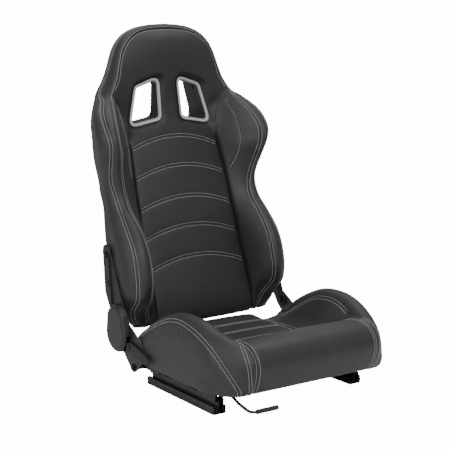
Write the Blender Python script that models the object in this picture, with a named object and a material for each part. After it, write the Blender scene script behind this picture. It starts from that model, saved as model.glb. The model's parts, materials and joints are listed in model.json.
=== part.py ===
"""Reclining motorsport bucket seat on floor slides, built as an assembly.

Metres, +Z up.  The seat faces -Y, +X is the occupant's left.  The origin is under the
middle of the seat, on the floor plane that the slide rails stand on.
"""

import math

import bmesh
import bpy
from mathutils import Vector

# ---- driving dimensions -------------------------------------------------------------
GAP = 0.0005                 # clearance between neighbouring pieces
SHIFT_Y = -0.2685            # from the rails' front ends to the middle of the seat

RAIL_X = 0.213               # centre of each rail
RAIL_HALF = 0.018
RAIL_LEN = 0.308
RAIL_H = 0.020
SHEET = 0.002                # rail and frame sheet thickness
UPPER_TOP = 0.032
UPPER_START = -0.006
UPPER_LEN = 0.306

CUSHION_SPLIT = 0.1800       # half-width of the insert and the front roll
PAN_Z = 0.060                # underside of the foam
PIVOT = (0.385, 0.142)       # recliner axis (Y, Z)
ARM_X = 0.2630               # inner face of the lower recliner arms
ARM_T = 0.004
LEVER_PIVOT = (0.325, 0.099)
ARM_BOLT = (0.316, 0.0485)   # lower arm to cushion frame

RELEASE_AXIS = (0.030, 0.046)  # slide release cross rod (Y, Z)
ROD_R = 0.004

TUBE_R = 0.011               # backrest hoop tube

# ---- materials ----------------------------------------------------------------------
BLACK_HIDE = ("black_hide", (0.028, 0.029, 0.031), 0.46, 0.0)
CENTRE_HIDE = ("centre_hide", (0.024, 0.025, 0.027), 0.52, 0.0)
SHELL_PLASTIC = ("shell_plastic", (0.020, 0.021, 0.023), 0.55, 0.0)
BEZEL_PLASTIC = ("bezel_plastic", (0.33, 0.34, 0.35), 0.38, 0.0)
COVER_PLASTIC = ("cover_plastic", (0.026, 0.027, 0.029), 0.40, 0.0)
GRIP_RUBBER = ("grip_rubber", (0.030, 0.030, 0.031), 0.70, 0.0)
BLACK_STEEL = ("black_steel", (0.022, 0.023, 0.025), 0.36, 0.6)
ARM_STEEL = ("arm_steel", (0.11, 0.115, 0.12), 0.42, 0.7)
ZINC = ("zinc_steel", (0.62, 0.63, 0.64), 0.30, 1.0)
SPRING_STEEL = ("spring_steel", (0.35, 0.36, 0.37), 0.35, 1.0)

# ---- backrest tables: the design's own stations up the height ------------------------
# height, centre line of the front face, back plane of the foam
SPINE = (
    (0.112, 0.3665, 0.398),
    (0.150, 0.368, 0.420),
    (0.180, 0.374, 0.434),
    (0.245, 0.397, 0.460),
    (0.303, 0.421, 0.483),
    (0.382, 0.448, 0.511),
    (0.459, 0.473, 0.538),
    (0.541, 0.502, 0.568),
    (0.618, 0.533, 0.596),
    (0.660, 0.549, 0.608),
    (0.700, 0.558, 0.616),
    (0.774, 0.563, 0.622),
    (0.840, 0.566, 0.624),
    (0.880, 0.570, 0.624),
    (0.900, 0.582, 0.624),
)
# height, half-width of the centre pad
CENTRE_HALF = (
    (0.112, 0.157),
    (0.300, 0.157),
    (0.380, 0.155),
    (0.450, 0.151),
    (0.510, 0.149),
    (0.560, 0.145),
    (0.600, 0.143),
    (0.650, 0.145),
    (0.680, 0.152),
    (0.705, 0.168),
    (0.720, 0.178),
    (0.737, 0.1805),
    (0.765, 0.166),
    (0.796, 0.156),
    (0.826, 0.147),
    (0.855, 0.1335),
    (0.879, 0.110),
    (0.893, 0.080),
    (0.8995, 0.045),
)
# height, inner seam, crest, outer seam, widest point, rear corner: each (x, y)
BOLSTER = (
    (0.127, (0.172, 0.392), (0.187, 0.387), (0.203, 0.390), (0.214, 0.400), (0.216, 0.414)),
    (0.148, (0.182, 0.386), (0.201, 0.378), (0.222, 0.386), (0.234, 0.404), (0.234, 0.432)),
    (0.180, (0.190, 0.372), (0.211, 0.362), (0.234, 0.373), (0.247, 0.396), (0.245, 0.450)),
    (0.212, (0.196, 0.340), (0.216, 0.331), (0.237, 0.342), (0.252, 0.378), (0.2465, 0.460)),
    (0.245, (0.196, 0.330), (0.216, 0.322), (0.237, 0.338), (0.256, 0.378), (0.2465, 0.470)),
    (0.290, (0.194, 0.337), (0.215, 0.328), (0.237, 0.343), (0.257, 0.388), (0.2465, 0.485)),
    (0.345, (0.194, 0.357), (0.214, 0.348), (0.234, 0.365), (0.255, 0.405), (0.2460, 0.500)),
    (0.400, (0.195, 0.401), (0.213, 0.394), (0.229, 0.413), (0.248, 0.445), (0.2400, 0.515)),
    (0.440, (0.197, 0.446), (0.213, 0.439), (0.226, 0.449), (0.240, 0.478), (0.2350, 0.527)),
    (0.475, (0.200, 0.461), (0.214, 0.456), (0.228, 0.468), (0.241, 0.495), (0.2370, 0.537)),
    (0.510, (0.207, 0.461), (0.221, 0.456), (0.236, 0.474), (0.247, 0.500), (0.2390, 0.539)),
    (0.545, (0.2145, 0.452), (0.229, 0.446), (0.243, 0.462), (0.2565, 0.490), (0.2460, 0.542)),
    (0.590, (0.2225, 0.437), (0.237, 0.430), (0.250, 0.443), (0.2670, 0.473), (0.2530, 0.540)),
    (0.624, (0.2266, 0.441), (0.241, 0.432), (0.254, 0.442), (0.2730, 0.474), (0.2560, 0.538)),
    (0.650, (0.224, 0.456), (0.240, 0.448), (0.2550, 0.460), (0.2715, 0.485), (0.2560, 0.543)),
    (0.680, (0.2145, 0.483), (0.232, 0.476), (0.248, 0.490), (0.2625, 0.509), (0.2500, 0.551)),
    (0.700, (0.2045, 0.507), (0.221, 0.503), (0.236, 0.517), (0.247, 0.533), (0.238, 0.564)),
    (0.718, (0.194, 0.527), (0.208, 0.529), (0.219, 0.540), (0.227, 0.553), (0.225, 0.578)),
    (0.732, (0.186, 0.543), (0.197, 0.548), (0.204, 0.557), (0.208, 0.567), (0.207, 0.586)),
)
# headrest rim stations: inner seam (x, z, y), outer edge (x, z, y)
RIM = (
    ((0.1840, 0.7335, 0.546), (0.203, 0.7335, 0.570)),
    ((0.1665, 0.7650, 0.551), (0.183, 0.768, 0.577)),
    ((0.1565, 0.7960, 0.5555), (0.170, 0.800, 0.577)),
    ((0.1475, 0.8265, 0.561), (0.160, 0.831, 0.578)),
    ((0.1340, 0.8560, 0.5665), (0.1475, 0.860, 0.581)),
    ((0.1110, 0.8800, 0.573), (0.1235, 0.887, 0.586)),
    ((0.0780, 0.8960, 0.580), (0.085, 0.906, 0.591)),
    ((0.0400, 0.9020, 0.584), (0.043, 0.9135, 0.596)),
    ((0.0000, 0.9035, 0.585), (0.000, 0.9155, 0.598)),
)
# harness slot, right-hand one seen from the front: (x, z) from its inner top corner
SLOT = ((0.037, 0.764), (0.0975, 0.7435), (0.1225, 0.6490), (0.0400, 0.6640))
SLOT_FLANGE = 0.0100         # flange width around the slot
BEZEL_WALL = 0.0025
TUNNEL_END = 0.5905          # how far back each bezel's tunnel reaches
# recess behind both slots: outline (x, z) of its right half, from the top
TRAY = ((0.060, 0.784), (0.108, 0.766), (0.134, 0.662), (0.128, 0.634))
TRAY_FLOOR = (0.5915, 0.5940)   # front and rear face of its floor
TRAY_LIP = (0.6582, 0.6600)     # lip outside the rear shell

# ---- cushion bolster side profiles: x station, then (y, z) round the outline ----------
SIDE_INNER = (
    (0.325, 0.062), (0.328, 0.108), (0.285, 0.120), (0.220, 0.140), (0.140, 0.168),
    (0.060, 0.186), (0.000, 0.189), (-0.050, 0.188), (-0.090, 0.179), (-0.110, 0.160),
    (-0.116, 0.135), (-0.110, 0.105), (-0.100, 0.078), (-0.080, 0.064),
)
SIDE_CREST = (
    (0.332, 0.062), (0.336, 0.118), (0.290, 0.156), (0.215, 0.198), (0.145, 0.225),
    (0.070, 0.228), (0.010, 0.217), (-0.035, 0.199), (-0.070, 0.174), (-0.088, 0.148),
    (-0.092, 0.122), (-0.088, 0.095), (-0.080, 0.074), (-0.064, 0.064),
)
SIDE_OUTER = (
    (0.325, 0.064), (0.326, 0.112), (0.275, 0.148), (0.205, 0.188), (0.155, 0.209),
    (0.098, 0.210), (0.040, 0.198), (-0.008, 0.173), (-0.034, 0.150), (-0.045, 0.130),
    (-0.047, 0.110), (-0.045, 0.093), (-0.040, 0.078), (-0.028, 0.067),
)
# front roll profile (y, z)
ROLL = (
    (0.034, 0.064), (0.036, 0.128), (0.024, 0.158), (0.004, 0.173), (-0.025, 0.183),
    (-0.055, 0.184), (-0.085, 0.177), (-0.104, 0.162), (-0.1155, 0.140), (-0.114, 0.118),
    (-0.109, 0.096), (-0.100, 0.076), (-0.085, 0.064),
)


# ---- helpers ------------------------------------------------------------------------
def clear_scene():
    for item in list(bpy.data.objects):
        bpy.data.objects.remove(item, do_unlink=True)


def interpolate(table, value):
    """Piecewise linear value of a (height, ...) table, all columns after the first."""
    if value <= table[0][0]:
        return table[0][1:]
    for low, high in zip(table, table[1:]):
        if value <= high[0]:
            t = (value - low[0]) / (high[0] - low[0])
            return tuple(a + (b - a) * t for a, b in zip(low[1:], high[1:]))
    return table[-1][1:]


def material(spec):
    name, colour, roughness, metallic = spec
    found = bpy.data.materials.get(name)
    if found:
        return found
    made = bpy.data.materials.new(name)
    made.use_nodes = True
    shader = made.node_tree.nodes["Principled BSDF"]
    shader.inputs["Base Color"].default_value = (*colour, 1.0)
    shader.inputs["Roughness"].default_value = roughness
    shader.inputs["Metallic"].default_value = metallic
    made.diffuse_color = (*colour, 1.0)
    return made


def pivot_empty(name, parent, x, y, z):
    """An empty on a joint's axis: the pieces that move with the joint hang from it."""
    empty = bpy.data.objects.new(name, None)
    bpy.context.collection.objects.link(empty)
    empty.location = (x, y + SHIFT_Y, z)
    if parent:
        empty.parent = parent
        empty.location = empty.location - world_location(parent)
    return empty


def world_location(item):
    total = Vector((0.0, 0.0, 0.0))
    while item:
        total += item.location
        item = item.parent
    return total


def finish(bm, name, spec, parent, angle=35.0):
    """Turn a bmesh in design coordinates into an object hanging from its parent."""
    bmesh.ops.recalc_face_normals(bm, faces=bm.faces)
    mesh = bpy.data.meshes.new(name)
    offset = Vector((0.0, SHIFT_Y, 0.0)) - world_location(parent)
    bmesh.ops.translate(bm, verts=bm.verts, vec=offset)
    bm.to_mesh(mesh)
    bm.free()
    mesh.materials.append(material(spec))
    mesh.shade_smooth()
    mesh.set_sharp_from_angle(angle=math.radians(angle))
    made = bpy.data.objects.new(name, mesh)
    bpy.context.collection.objects.link(made)
    made.parent = parent
    return made


def loft_into(bm, rings, closed=False):
    """Skin a list of rings with the same number of points; caps unless it closes."""
    rows = [[bm.verts.new(p) for p in ring] for ring in rings]
    count = len(rows[0])
    spans = list(zip(rows, rows[1:]))
    if closed:
        spans.append((rows[-1], rows[0]))
    for low, high in spans:
        for i in range(count):
            j = (i + 1) % count
            bm.faces.new((low[i], low[j], high[j], high[i]))
    if not closed:
        bm.faces.new(list(reversed(rows[0])))
        bm.faces.new(rows[-1])


def split_caps(bm):
    """Triangulate the caps: their outlines may be concave."""
    bm.normal_update()
    bmesh.ops.triangulate(bm, faces=[f for f in bm.faces if len(f.verts) > 4])


def loft(name, rings, spec, parent, closed=False, angle=35.0):
    bm = bmesh.new()
    loft_into(bm, rings, closed)
    split_caps(bm)
    return finish(bm, name, spec, parent, angle)


def prism_rings(outline, axis, start, end):
    """Two rings of a 2-D outline swept along an axis: X takes (y, z), Y takes (x, z)."""
    if axis == "X":
        return [[(s, u, v) for u, v in outline] for s in (start, end)]
    if axis == "Y":
        return [[(u, s, v) for u, v in outline] for s in (start, end)]
    return [[(u, v, s) for u, v in outline] for s in (start, end)]


def prism(name, outline, axis, start, end, spec, parent, angle=35.0):
    return loft(name, prism_rings(outline, axis, start, end), spec, parent, angle=angle)


def circle(cu, cv, radius, count=16, turn=0.0):
    return [
        (
            cu + radius * math.cos(turn + 2.0 * math.pi * i / count),
            cv + radius * math.sin(turn + 2.0 * math.pi * i / count),
        )
        for i in range(count)
    ]


def box_outline(u0, u1, v0, v1):
    return [(u0, v0), (u1, v0), (u1, v1), (u0, v1)]


def smooth_path(points, steps):
    """Catmull-Rom curve through the points, with a few steps in each span."""
    path = []
    last = len(points) - 1
    for i in range(last):
        p0 = Vector(points[max(i - 1, 0)])
        p1 = Vector(points[i])
        p2 = Vector(points[i + 1])
        p3 = Vector(points[min(i + 2, last)])
        for s in range(steps):
            t = s / steps
            path.append(
                0.5
                * (
                    2.0 * p1
                    + (p2 - p0) * t
                    + (2.0 * p0 - 5.0 * p1 + 4.0 * p2 - p3) * t * t
                    + (3.0 * p1 - p0 - 3.0 * p2 + p3) * t * t * t
                )
            )
    path.append(Vector(points[last]))
    return path


def tube_rings(path, radius, sides, closed=False):
    """Rings round a path, turned from one to the next without twist."""
    count = len(path)
    rings = []
    normal = None
    for i, point in enumerate(path):
        if closed:
            tangent = (path[(i + 1) % count] - path[i - 1]).normalized()
        else:
            tangent = (path[min(i + 1, count - 1)] - path[max(i - 1, 0)]).normalized()
        if normal is None:
            helper = Vector((0.0, 0.0, 1.0)) if abs(tangent.z) < 0.9 else Vector((1.0, 0.0, 0.0))
            normal = tangent.cross(helper).normalized()
        normal = (normal - tangent * normal.dot(tangent)).normalized()
        side = tangent.cross(normal)
        ring = []
        for k in range(sides):
            angle = 2.0 * math.pi * k / sides
            ring.append(point + (normal * math.cos(angle) + side * math.sin(angle)) * radius)
        rings.append(ring)
    return rings


def tube(name, points, radius, sides, spec, parent, steps=4, closed=False):
    if steps > 1:
        path = smooth_path(points, steps)
    else:
        path = [Vector(p) for p in points]
    return loft(name, tube_rings(path, radius, sides, closed), spec, parent, closed, 60.0)


def carve(target, rings_list, operation="DIFFERENCE"):
    """Apply an exact Boolean with the given lofted solids and drop the cutter."""
    for rings in rings_list:
        tool = loft("cutter", rings, ZINC, target.parent)
        step = target.modifiers.new("cut", "BOOLEAN")
        step.operation = operation
        step.solver = "EXACT"
        step.object = tool
        bpy.context.view_layer.update()
        graph = bpy.context.evaluated_depsgraph_get()
        done = bpy.data.meshes.new_from_object(target.evaluated_get(graph))
        target.modifiers.remove(step)
        old = target.data
        tidy = bmesh.new()
        tidy.from_mesh(done)
        bmesh.ops.remove_doubles(tidy, verts=tidy.verts, dist=0.000002)
        bmesh.ops.triangulate(tidy, faces=tidy.faces)
        tidy.to_mesh(done)
        tidy.free()
        target.data = done
        done.materials.clear()
        done.materials.append(old.materials[0])
        bpy.data.meshes.remove(old)
        bpy.data.objects.remove(tool, do_unlink=True)
    return target


def mirrored(rings):
    """The same rings on the other side of the seat."""
    return [[(-p[0], p[1], p[2]) for p in ring] for ring in rings]


def on_side(sign, rings):
    """Rings drawn for the occupant's left, or mirrored for the right."""
    return rings if sign > 0 else mirrored(rings)


SIDES = (("right", -1.0), ("left", 1.0))


# ---- slide rails --------------------------------------------------------------------
def lower_rail_outline(centre):
    half = RAIL_HALF
    t = SHEET
    right = [
        (half, 0.0),
        (half, RAIL_H),
        (0.0090, RAIL_H),
        (0.0090, 0.0128),
        (0.0105, 0.0128),
        (0.0105, RAIL_H - t),
        (half - t, RAIL_H - t),
        (half - t, t),
    ]
    left = [(-u, v) for u, v in reversed(right)]
    return [(centre + u, v) for u, v in right + left]


def upper_rail_outline(centre):
    right = [
        (0.0076, UPPER_TOP),
        (0.0076, 0.0106),
        (0.0118, 0.0106),
        (0.0118, 0.0148),
        (0.0138, 0.0148),
        (0.0138, 0.0086),
        (0.0058, 0.0086),
        (0.0058, UPPER_TOP - SHEET),
    ]
    left = [(-u, v) for u, v in reversed(right)]
    return [(centre + u, v) for u, v in right + left]


def build_rails(floor, slide, cages):
    for side, sign in SIDES:
        centre = sign * RAIL_X
        rail = prism(
            f"rail_lower_{side}", lower_rail_outline(centre), "Y", 0.0, RAIL_LEN, BLACK_STEEL, floor
        )
        holes = []
        for place, y in (("front", 0.018), ("rear", RAIL_LEN - 0.018)):
            hole = prism_rings(circle(centre, y, 0.0036, 12), "Z", -0.01, 0.01)
            holes.append(hole)
            bolt = prism(
                f"rail_bolt_{place}_{side}",
                circle(centre, y, 0.0052, 12),
                "Z",
                SHEET + 0.0003,
                0.0070,
                ZINC,
                floor,
            )
            carve(bolt, [prism_rings(circle(centre, y, 0.0032, 12), "Z", 0.0003, 0.0040)], "UNION")
        carve(rail, holes)
        prism(
            f"rail_upper_{side}",
            upper_rail_outline(centre),
            "Y",
            UPPER_START,
            UPPER_START + UPPER_LEN,
            BLACK_STEEL,
            slide,
        )
        middle = RAIL_LEN / 2.0
        cage = prism(
            f"slide_cage_{side}",
            box_outline(centre - 0.0045, centre + 0.0045, 0.0046, 0.0060),
            "Y",
            middle - 0.055,
            middle + 0.055,
            ZINC,
            cages,
        )
        rollers = []
        for k in range(4):
            y = middle + (k - 1.5) * 0.030
            rollers.append(
                prism_rings(circle(y, 0.00525, 0.0029, 10), "X", centre - 0.0125, centre + 0.0125)
            )
        carve(cage, rollers, "UNION")


# ---- cushion frame and pads ----------------------------------------------------------
def build_cushion(slide):
    top = UPPER_TOP + 0.0003
    for side, sign in SIDES:
        centre = sign * RAIL_X
        # Z-section side member: a foot on the upper rail, a web, and a top flange
        inner = centre - sign * 0.016
        web = centre + sign * 0.014
        outline = [
            (inner, top),
            (web, top),
            (web, 0.0560),
            (centre - sign * 0.004, 0.0560),
            (centre - sign * 0.004, 0.0540),
            (web - sign * SHEET, 0.0540),
            (web - sign * SHEET, top + SHEET),
            (inner, top + SHEET),
        ]
        member = prism(f"frame_side_{side}", outline, "Y", 0.000, 0.300, BLACK_STEEL, slide)
        holes = []
        for place, y in (("front", 0.052), ("rear", 0.262)):
            holes.append(prism_rings(circle(centre, y, 0.0036, 12), "Z", 0.028, 0.038))
            bolt = prism(
                f"frame_bolt_{place}_{side}",
                circle(centre, y, 0.0062, 6),
                "Z",
                top + SHEET + 0.0003,
                0.0400,
                ZINC,
                slide,
            )
            carve(bolt, [prism_rings(circle(centre, y, 0.0032, 12), "Z", 0.0270, 0.0370)], "UNION")
            rail = bpy.data.objects[f"rail_upper_{side}"]
            carve(rail, [prism_rings(circle(centre, y, 0.0036, 12), "Z", 0.028, 0.036)])
        carve(member, holes)
        for y in (0.100, 0.215):
            slot = [
                (y - 0.020 + u, 0.045 + v)
                for u, v in ((0.0, -0.004), (0.04, -0.004), (0.04, 0.004), (0.0, 0.004))
            ]
            carve(member, [prism_rings(slot, "X", web - 0.006, web + 0.006)])
    for place, y in (("front", 0.075), ("rear", 0.235)):
        prism(
            f"frame_tube_{place}",
            circle(y, 0.0440, 0.0085, 14),
            "X",
            -(RAIL_X + 0.011),
            RAIL_X + 0.011,
            BLACK_STEEL,
            slide,
            60.0,
        )
        for side, sign in SIDES:
            member = bpy.data.objects[f"frame_side_{side}"]
            hole = circle(y, 0.0440, 0.0089, 14)
            near = sign * (RAIL_X - 0.030)
            carve(member, [prism_rings(hole, "X", near, sign * (RAIL_X + 0.0116))])
    pan = prism(
        "seat_pan",
        box_outline(-0.186, 0.186, 0.010, 0.318),
        "Z",
        0.0562,
        0.0584,
        BLACK_STEEL,
        slide,
    )
    beads = []
    for k in range(3):
        y = 0.100 + 0.065 * k
        beads.append(prism_rings(box_outline(-0.120, 0.120, y - 0.012, y + 0.012), "Z", 0.05, 0.07))
    carve(pan, beads)

    insert = []
    half = CUSHION_SPLIT - GAP
    stations = 9
    for y, height in (
        (0.0372, 0.138), (0.060, 0.130), (0.100, 0.128), (0.160, 0.129), (0.220, 0.130),
        (0.280, 0.131), (0.330, 0.133), (0.352, 0.129), (0.360, 0.114),
    ):
        ring = [(-half, y, PAN_Z), (half, y, PAN_Z)]
        for i in range(stations):
            u = 1.0 - 2.0 * i / (stations - 1)
            lift = 0.016 * max(0.0, abs(u) - 0.66) / 0.34 if y < 0.30 else 0.0
            crown = 0.004 * (1.0 - u * u)
            ring.append((u * half, y, height + crown + lift))
        insert.append(ring)
    loft("cushion_insert_pad", insert, CENTRE_HIDE, slide)

    ends = ((-1.0, 0.965), (-0.985, 1.0), (-0.4, 1.0), (0.4, 1.0), (0.985, 1.0), (1.0, 0.965))
    rings = []
    for u, scale in ends:
        ring = []
        for y, z in ROLL:
            ring.append((u * half, -0.02 + (y + 0.02) * scale, 0.12 + (z - 0.12) * scale))
        rings.append(ring)
    loft("front_roll", rings, BLACK_HIDE, slide)

    for side, sign in SIDES:
        rings = []
        start = CUSHION_SPLIT + GAP
        stations_x = (
            (start, SIDE_INNER, SIDE_INNER, 0.0),
            (0.197, SIDE_INNER, SIDE_CREST, 0.62),
            (0.212, SIDE_INNER, SIDE_CREST, 0.90),
            (0.228, SIDE_CREST, SIDE_CREST, 0.0),
            (0.244, SIDE_CREST, SIDE_OUTER, 0.42),
            (0.2535, SIDE_CREST, SIDE_OUTER, 1.0),
        )
        for x, low, high, t in stations_x:
            ring = [
                (x, a[0] + (b[0] - a[0]) * t, a[1] + (b[1] - a[1]) * t) for a, b in zip(low, high)
            ]
            rings.append(ring)
        for x, scale in ((0.2595, 0.955), (0.2622, 0.86)):
            ring = [(x, 0.150 + (y - 0.150) * scale, 0.125 + (z - 0.125) * scale) for y, z in SIDE_OUTER]
            rings.append(ring)
        loft(f"cushion_bolster_{side}", on_side(sign, rings), BLACK_HIDE, slide)


# ---- recliner -----------------------------------------------------------------------
def hull_outline(circles, count=28):
    """Outline round a set of (u, v, radius) discs, as a plate's profile would be."""
    outline = []
    for i in range(count):
        angle = 2.0 * math.pi * i / count
        du = math.cos(angle)
        dv = math.sin(angle)
        best = max(circles, key=lambda c: c[0] * du + c[1] * dv + c[2])
        outline.append((best[0] + best[2] * du, best[1] + best[2] * dv))
    return outline


def arm_plate(name, circles, x0, x1, spec, parent, holes):
    plate = prism(name, hull_outline(circles), "X", x0, x1, spec, parent)
    for u, v, radius in holes:
        carve(plate, [prism_rings(circle(u, v, radius, 14), "X", x0 - 0.02, x1 + 0.02)])
    return plate


def build_recliner(slide, back, lever):
    py, pz = PIVOT
    ly, lz = LEVER_PIVOT
    by, bz = ARM_BOLT
    for side, sign in SIDES:
        # the lever side carries the larger plates
        slim = 1.0 if side == "right" else 0.66
        lower_circles = (
            (py, pz, 0.036 * slim), (0.296, 0.102, 0.026 * slim),
            (0.268, 0.090, 0.014 * slim), (by, bz, 0.014),
        )
        upper_circles = (
            (py, pz, 0.030 * slim), (0.445, 0.225, 0.024 * slim), (0.460, 0.330, 0.018 * slim),
        )
        x0 = sign * ARM_X
        x1 = sign * (ARM_X + ARM_T)
        arm_holes = [(py, pz, 0.0105), (by, bz, 0.0050)]
        if side == "right":
            arm_holes.append((ly, lz, 0.0046))
        arm_plate(
            f"recliner_lower_arm_{side}", lower_circles, x0, x1, BLACK_STEEL, slide, arm_holes
        )
        # plate that carries the lower arm on the cushion frame
        bracket = prism(
            f"arm_bracket_{side}",
            [(0.250, 0.0375), (0.330, 0.0375), (0.330, 0.0595), (0.262, 0.0595), (0.250, 0.0520)],
            "X",
            sign * (RAIL_X + 0.0146),
            sign * (RAIL_X + 0.0176),
            BLACK_STEEL,
            slide,
        )
        shank = prism_rings(circle(by, bz, 0.0044, 12), "X", sign * 0.2262, sign * 0.2695)
        head = prism_rings(circle(by, bz, 0.0085, 6), "X", sign * 0.2675, sign * 0.2725)
        collar = prism_rings(circle(by, bz, 0.0085, 14), "X", sign * 0.2312, sign * 0.2625)
        bolt = loft(f"arm_bracket_bolt_{side}", shank, ZINC, slide)
        carve(bolt, [head, collar], "UNION")
        carve(bracket, [prism_rings(circle(by, bz, 0.0048, 12), "X", sign * 0.22, sign * 0.24)])
        # pressed upper arm, outside the bolster and inside the lower arm
        ux0 = sign * (ARM_X - 0.0045)
        ux1 = sign * (ARM_X - 0.0005)
        upper = arm_plate(
            f"recliner_upper_arm_{side}",
            upper_circles,
            ux0,
            ux1,
            ARM_STEEL,
            back,
            [(py, pz, 0.0105), (0.447, 0.245, 0.0050), (0.459, 0.320, 0.0050)],
        )
        rim = [
            prism_rings(
                [(0.427, 0.190), (0.4295, 0.190), (0.4455, 0.322), (0.4430, 0.322)],
                "X",
                sign * (ARM_X - 0.004),
                sign * (ARM_X + 0.004),
            )
        ]
        carve(upper, rim, "UNION")
        pin = prism(
            f"recliner_pin_{side}",
            circle(py, pz, 0.0100, 18),
            "X",
            sign * (ARM_X - 0.0105),
            sign * (ARM_X + 0.0125),
            ZINC,
            slide,
            40.0,
        )
        for place, (hy, hz) in (("lower", (0.447, 0.245)), ("upper", (0.459, 0.320))):
            shank = prism_rings(circle(hy, hz, 0.0044, 12), "X", sign * 0.2545, sign * 0.2640)
            head = prism_rings(circle(hy, hz, 0.0080, 6), "X", sign * 0.2629, sign * 0.2675)
            inner = prism_rings(circle(hy, hz, 0.0078, 14), "X", sign * 0.2530, sign * 0.2582)
            bolt = loft(f"back_bolt_{place}_{side}", shank, ZINC, back)
            carve(bolt, [head, inner], "UNION")

    # flat return spring inside the cover
    turns = 2.25
    steps = 40
    outer = []
    inner = []
    for i in range(steps + 1):
        t = i / steps
        angle = 0.6 + turns * 2.0 * math.pi * t
        radius = 0.0125 + 0.0155 * t
        outer.append((py + (radius + 0.0009) * math.cos(angle), pz + (radius + 0.0009) * math.sin(angle)))
        inner.append((py + (radius - 0.0009) * math.cos(angle), pz + (radius - 0.0009) * math.sin(angle)))
    prism(
        "recliner_spring", outer + list(reversed(inner)), "X", -0.2690, -0.2740, SPRING_STEEL, slide
    )

    # moulded cover: a shallow dish over the recliner
    dish = ((py - 0.002, pz + 0.018, 0.044), (py - 0.004, pz - 0.016, 0.050))
    shell_rings = []
    for x, grow in (
        (-0.2680, 0.0), (-0.2790, -0.001), (-0.2835, -0.005), (-0.2855, -0.012),
    ):
        shell_rings.append([(x, u, v) for u, v in hull_outline([(a, b, r + grow) for a, b, r in dish])])
    cover = loft("recliner_cover", shell_rings, COVER_PLASTIC, slide)
    hollow = []
    for x, grow in ((-0.2600, -0.0028), (-0.2785, -0.0032), (-0.2815, -0.009)):
        hollow.append([(x, u, v) for u, v in hull_outline([(a, b, r + grow) for a, b, r in dish])])
    carve(cover, [hollow])
    notch = [(0.300, 0.060), (0.352, 0.060), (0.352, 0.128), (0.300, 0.128)]
    carve(cover, [prism_rings(notch, "X", -0.262, -0.2762)])

    # lever on its own pin, pointing forward and down past the cover
    stub = [
        (ly + 0.012, lz + 0.010),
        (ly - 0.004, lz + 0.014),
        (ly - 0.050, lz + 0.004),
        (ly - 0.086, lz - 0.008),
        (ly - 0.096, lz - 0.018),
        (ly - 0.088, lz - 0.027),
        (ly - 0.050, lz - 0.021),
        (ly - 0.004, lz - 0.013),
        (ly + 0.012, lz - 0.008),
    ]
    grip = prism("recliner_lever", stub, "X", -0.2690, -0.2755, GRIP_RUBBER, lever)
    carve(grip, [prism_rings(circle(ly, lz, 0.0050, 14), "X", -0.26, -0.28)])
    shank = prism_rings(circle(ly, lz, 0.0040, 14), "X", -0.2615, -0.2775)
    cap = prism_rings(circle(ly, lz, 0.0072, 14), "X", -0.2760, -0.2780)
    rivet = loft("recliner_lever_rivet", shank, ZINC, slide)
    carve(rivet, [cap], "UNION")


# ---- backrest ------------------------------------------------------------------------
def pad_front(x, z):
    """Front surface of the centre pad: crowned across its width."""
    half = interpolate(CENTRE_HALF, z)[0]
    u = min(abs(x) / half, 1.0)
    return interpolate(SPINE, z)[0] + 0.011 * u * u


def foam_rear(x, z):
    """Back surface of the foam at a half-width: flat, then falling away to the edge."""
    back_y = interpolate(SPINE, z)[1]
    if z > BOLSTER[-1][0]:
        return back_y
    half = interpolate(CENTRE_HALF, z)[0]
    edges = [(row[0], row[5][0] - 0.014, row[5][1] + 0.012) for row in BOLSTER]
    edge_x, edge_y = interpolate(edges, z)
    edge_y = min(edge_y, back_y - 0.001)
    return back_y + (edge_y - back_y) * max(0.0, (x - half) / (edge_x - half))


def slot_outline(grow):
    """The harness slot's outline, offset outward, with chamfered corners."""
    points = [Vector((x, z)) for x, z in SLOT]
    centre = sum(points, Vector((0.0, 0.0))) / 4.0
    moved = []
    for i, point in enumerate(points):
        before = (point - points[i - 1]).normalized()
        after = (points[(i + 1) % 4] - point).normalized()
        n0 = Vector((-before.y, before.x))
        n1 = Vector((-after.y, after.x))
        if n0.dot(point - centre) < 0.0:
            n0 = -n0
        if n1.dot(point - centre) < 0.0:
            n1 = -n1
        bisector = (n0 + n1) / (1.0 + n0.dot(n1))
        moved.append(point + bisector * grow)
    chamfer = 0.0135 + 0.45 * grow
    outline = []
    for i, point in enumerate(moved):
        before = (moved[i - 1] - point).normalized()
        after = (moved[(i + 1) % 4] - point).normalized()
        outline.append(tuple(point + before * chamfer))
        outline.append(tuple(point + (before + after) * chamfer * 0.30))
        outline.append(tuple(point + after * chamfer))
    return outline


def tray_outline(grow):
    """The recess outline behind both slots, offset outward, with chamfered corners."""
    half = [Vector(point) for point in TRAY]
    corners = half + [Vector((-x, z)) for x, z in reversed(TRAY)]
    centre = Vector((0.0, 0.710))
    outline = []
    for i, point in enumerate(corners):
        out = (point - centre).normalized()
        moved = point + Vector((math.copysign(1.0, out.x), math.copysign(1.0, out.y))) * grow
        before = (corners[i - 1] - point).normalized()
        after = (corners[(i + 1) % len(corners)] - point).normalized()
        outline.append(tuple(moved + before * 0.010))
        outline.append(tuple(moved + (before + after) * 0.0030))
        outline.append(tuple(moved + after * 0.010))
    return outline


def tray_face(grow, y):
    return [(x, y, z) for x, z in tray_outline(grow)]


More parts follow.
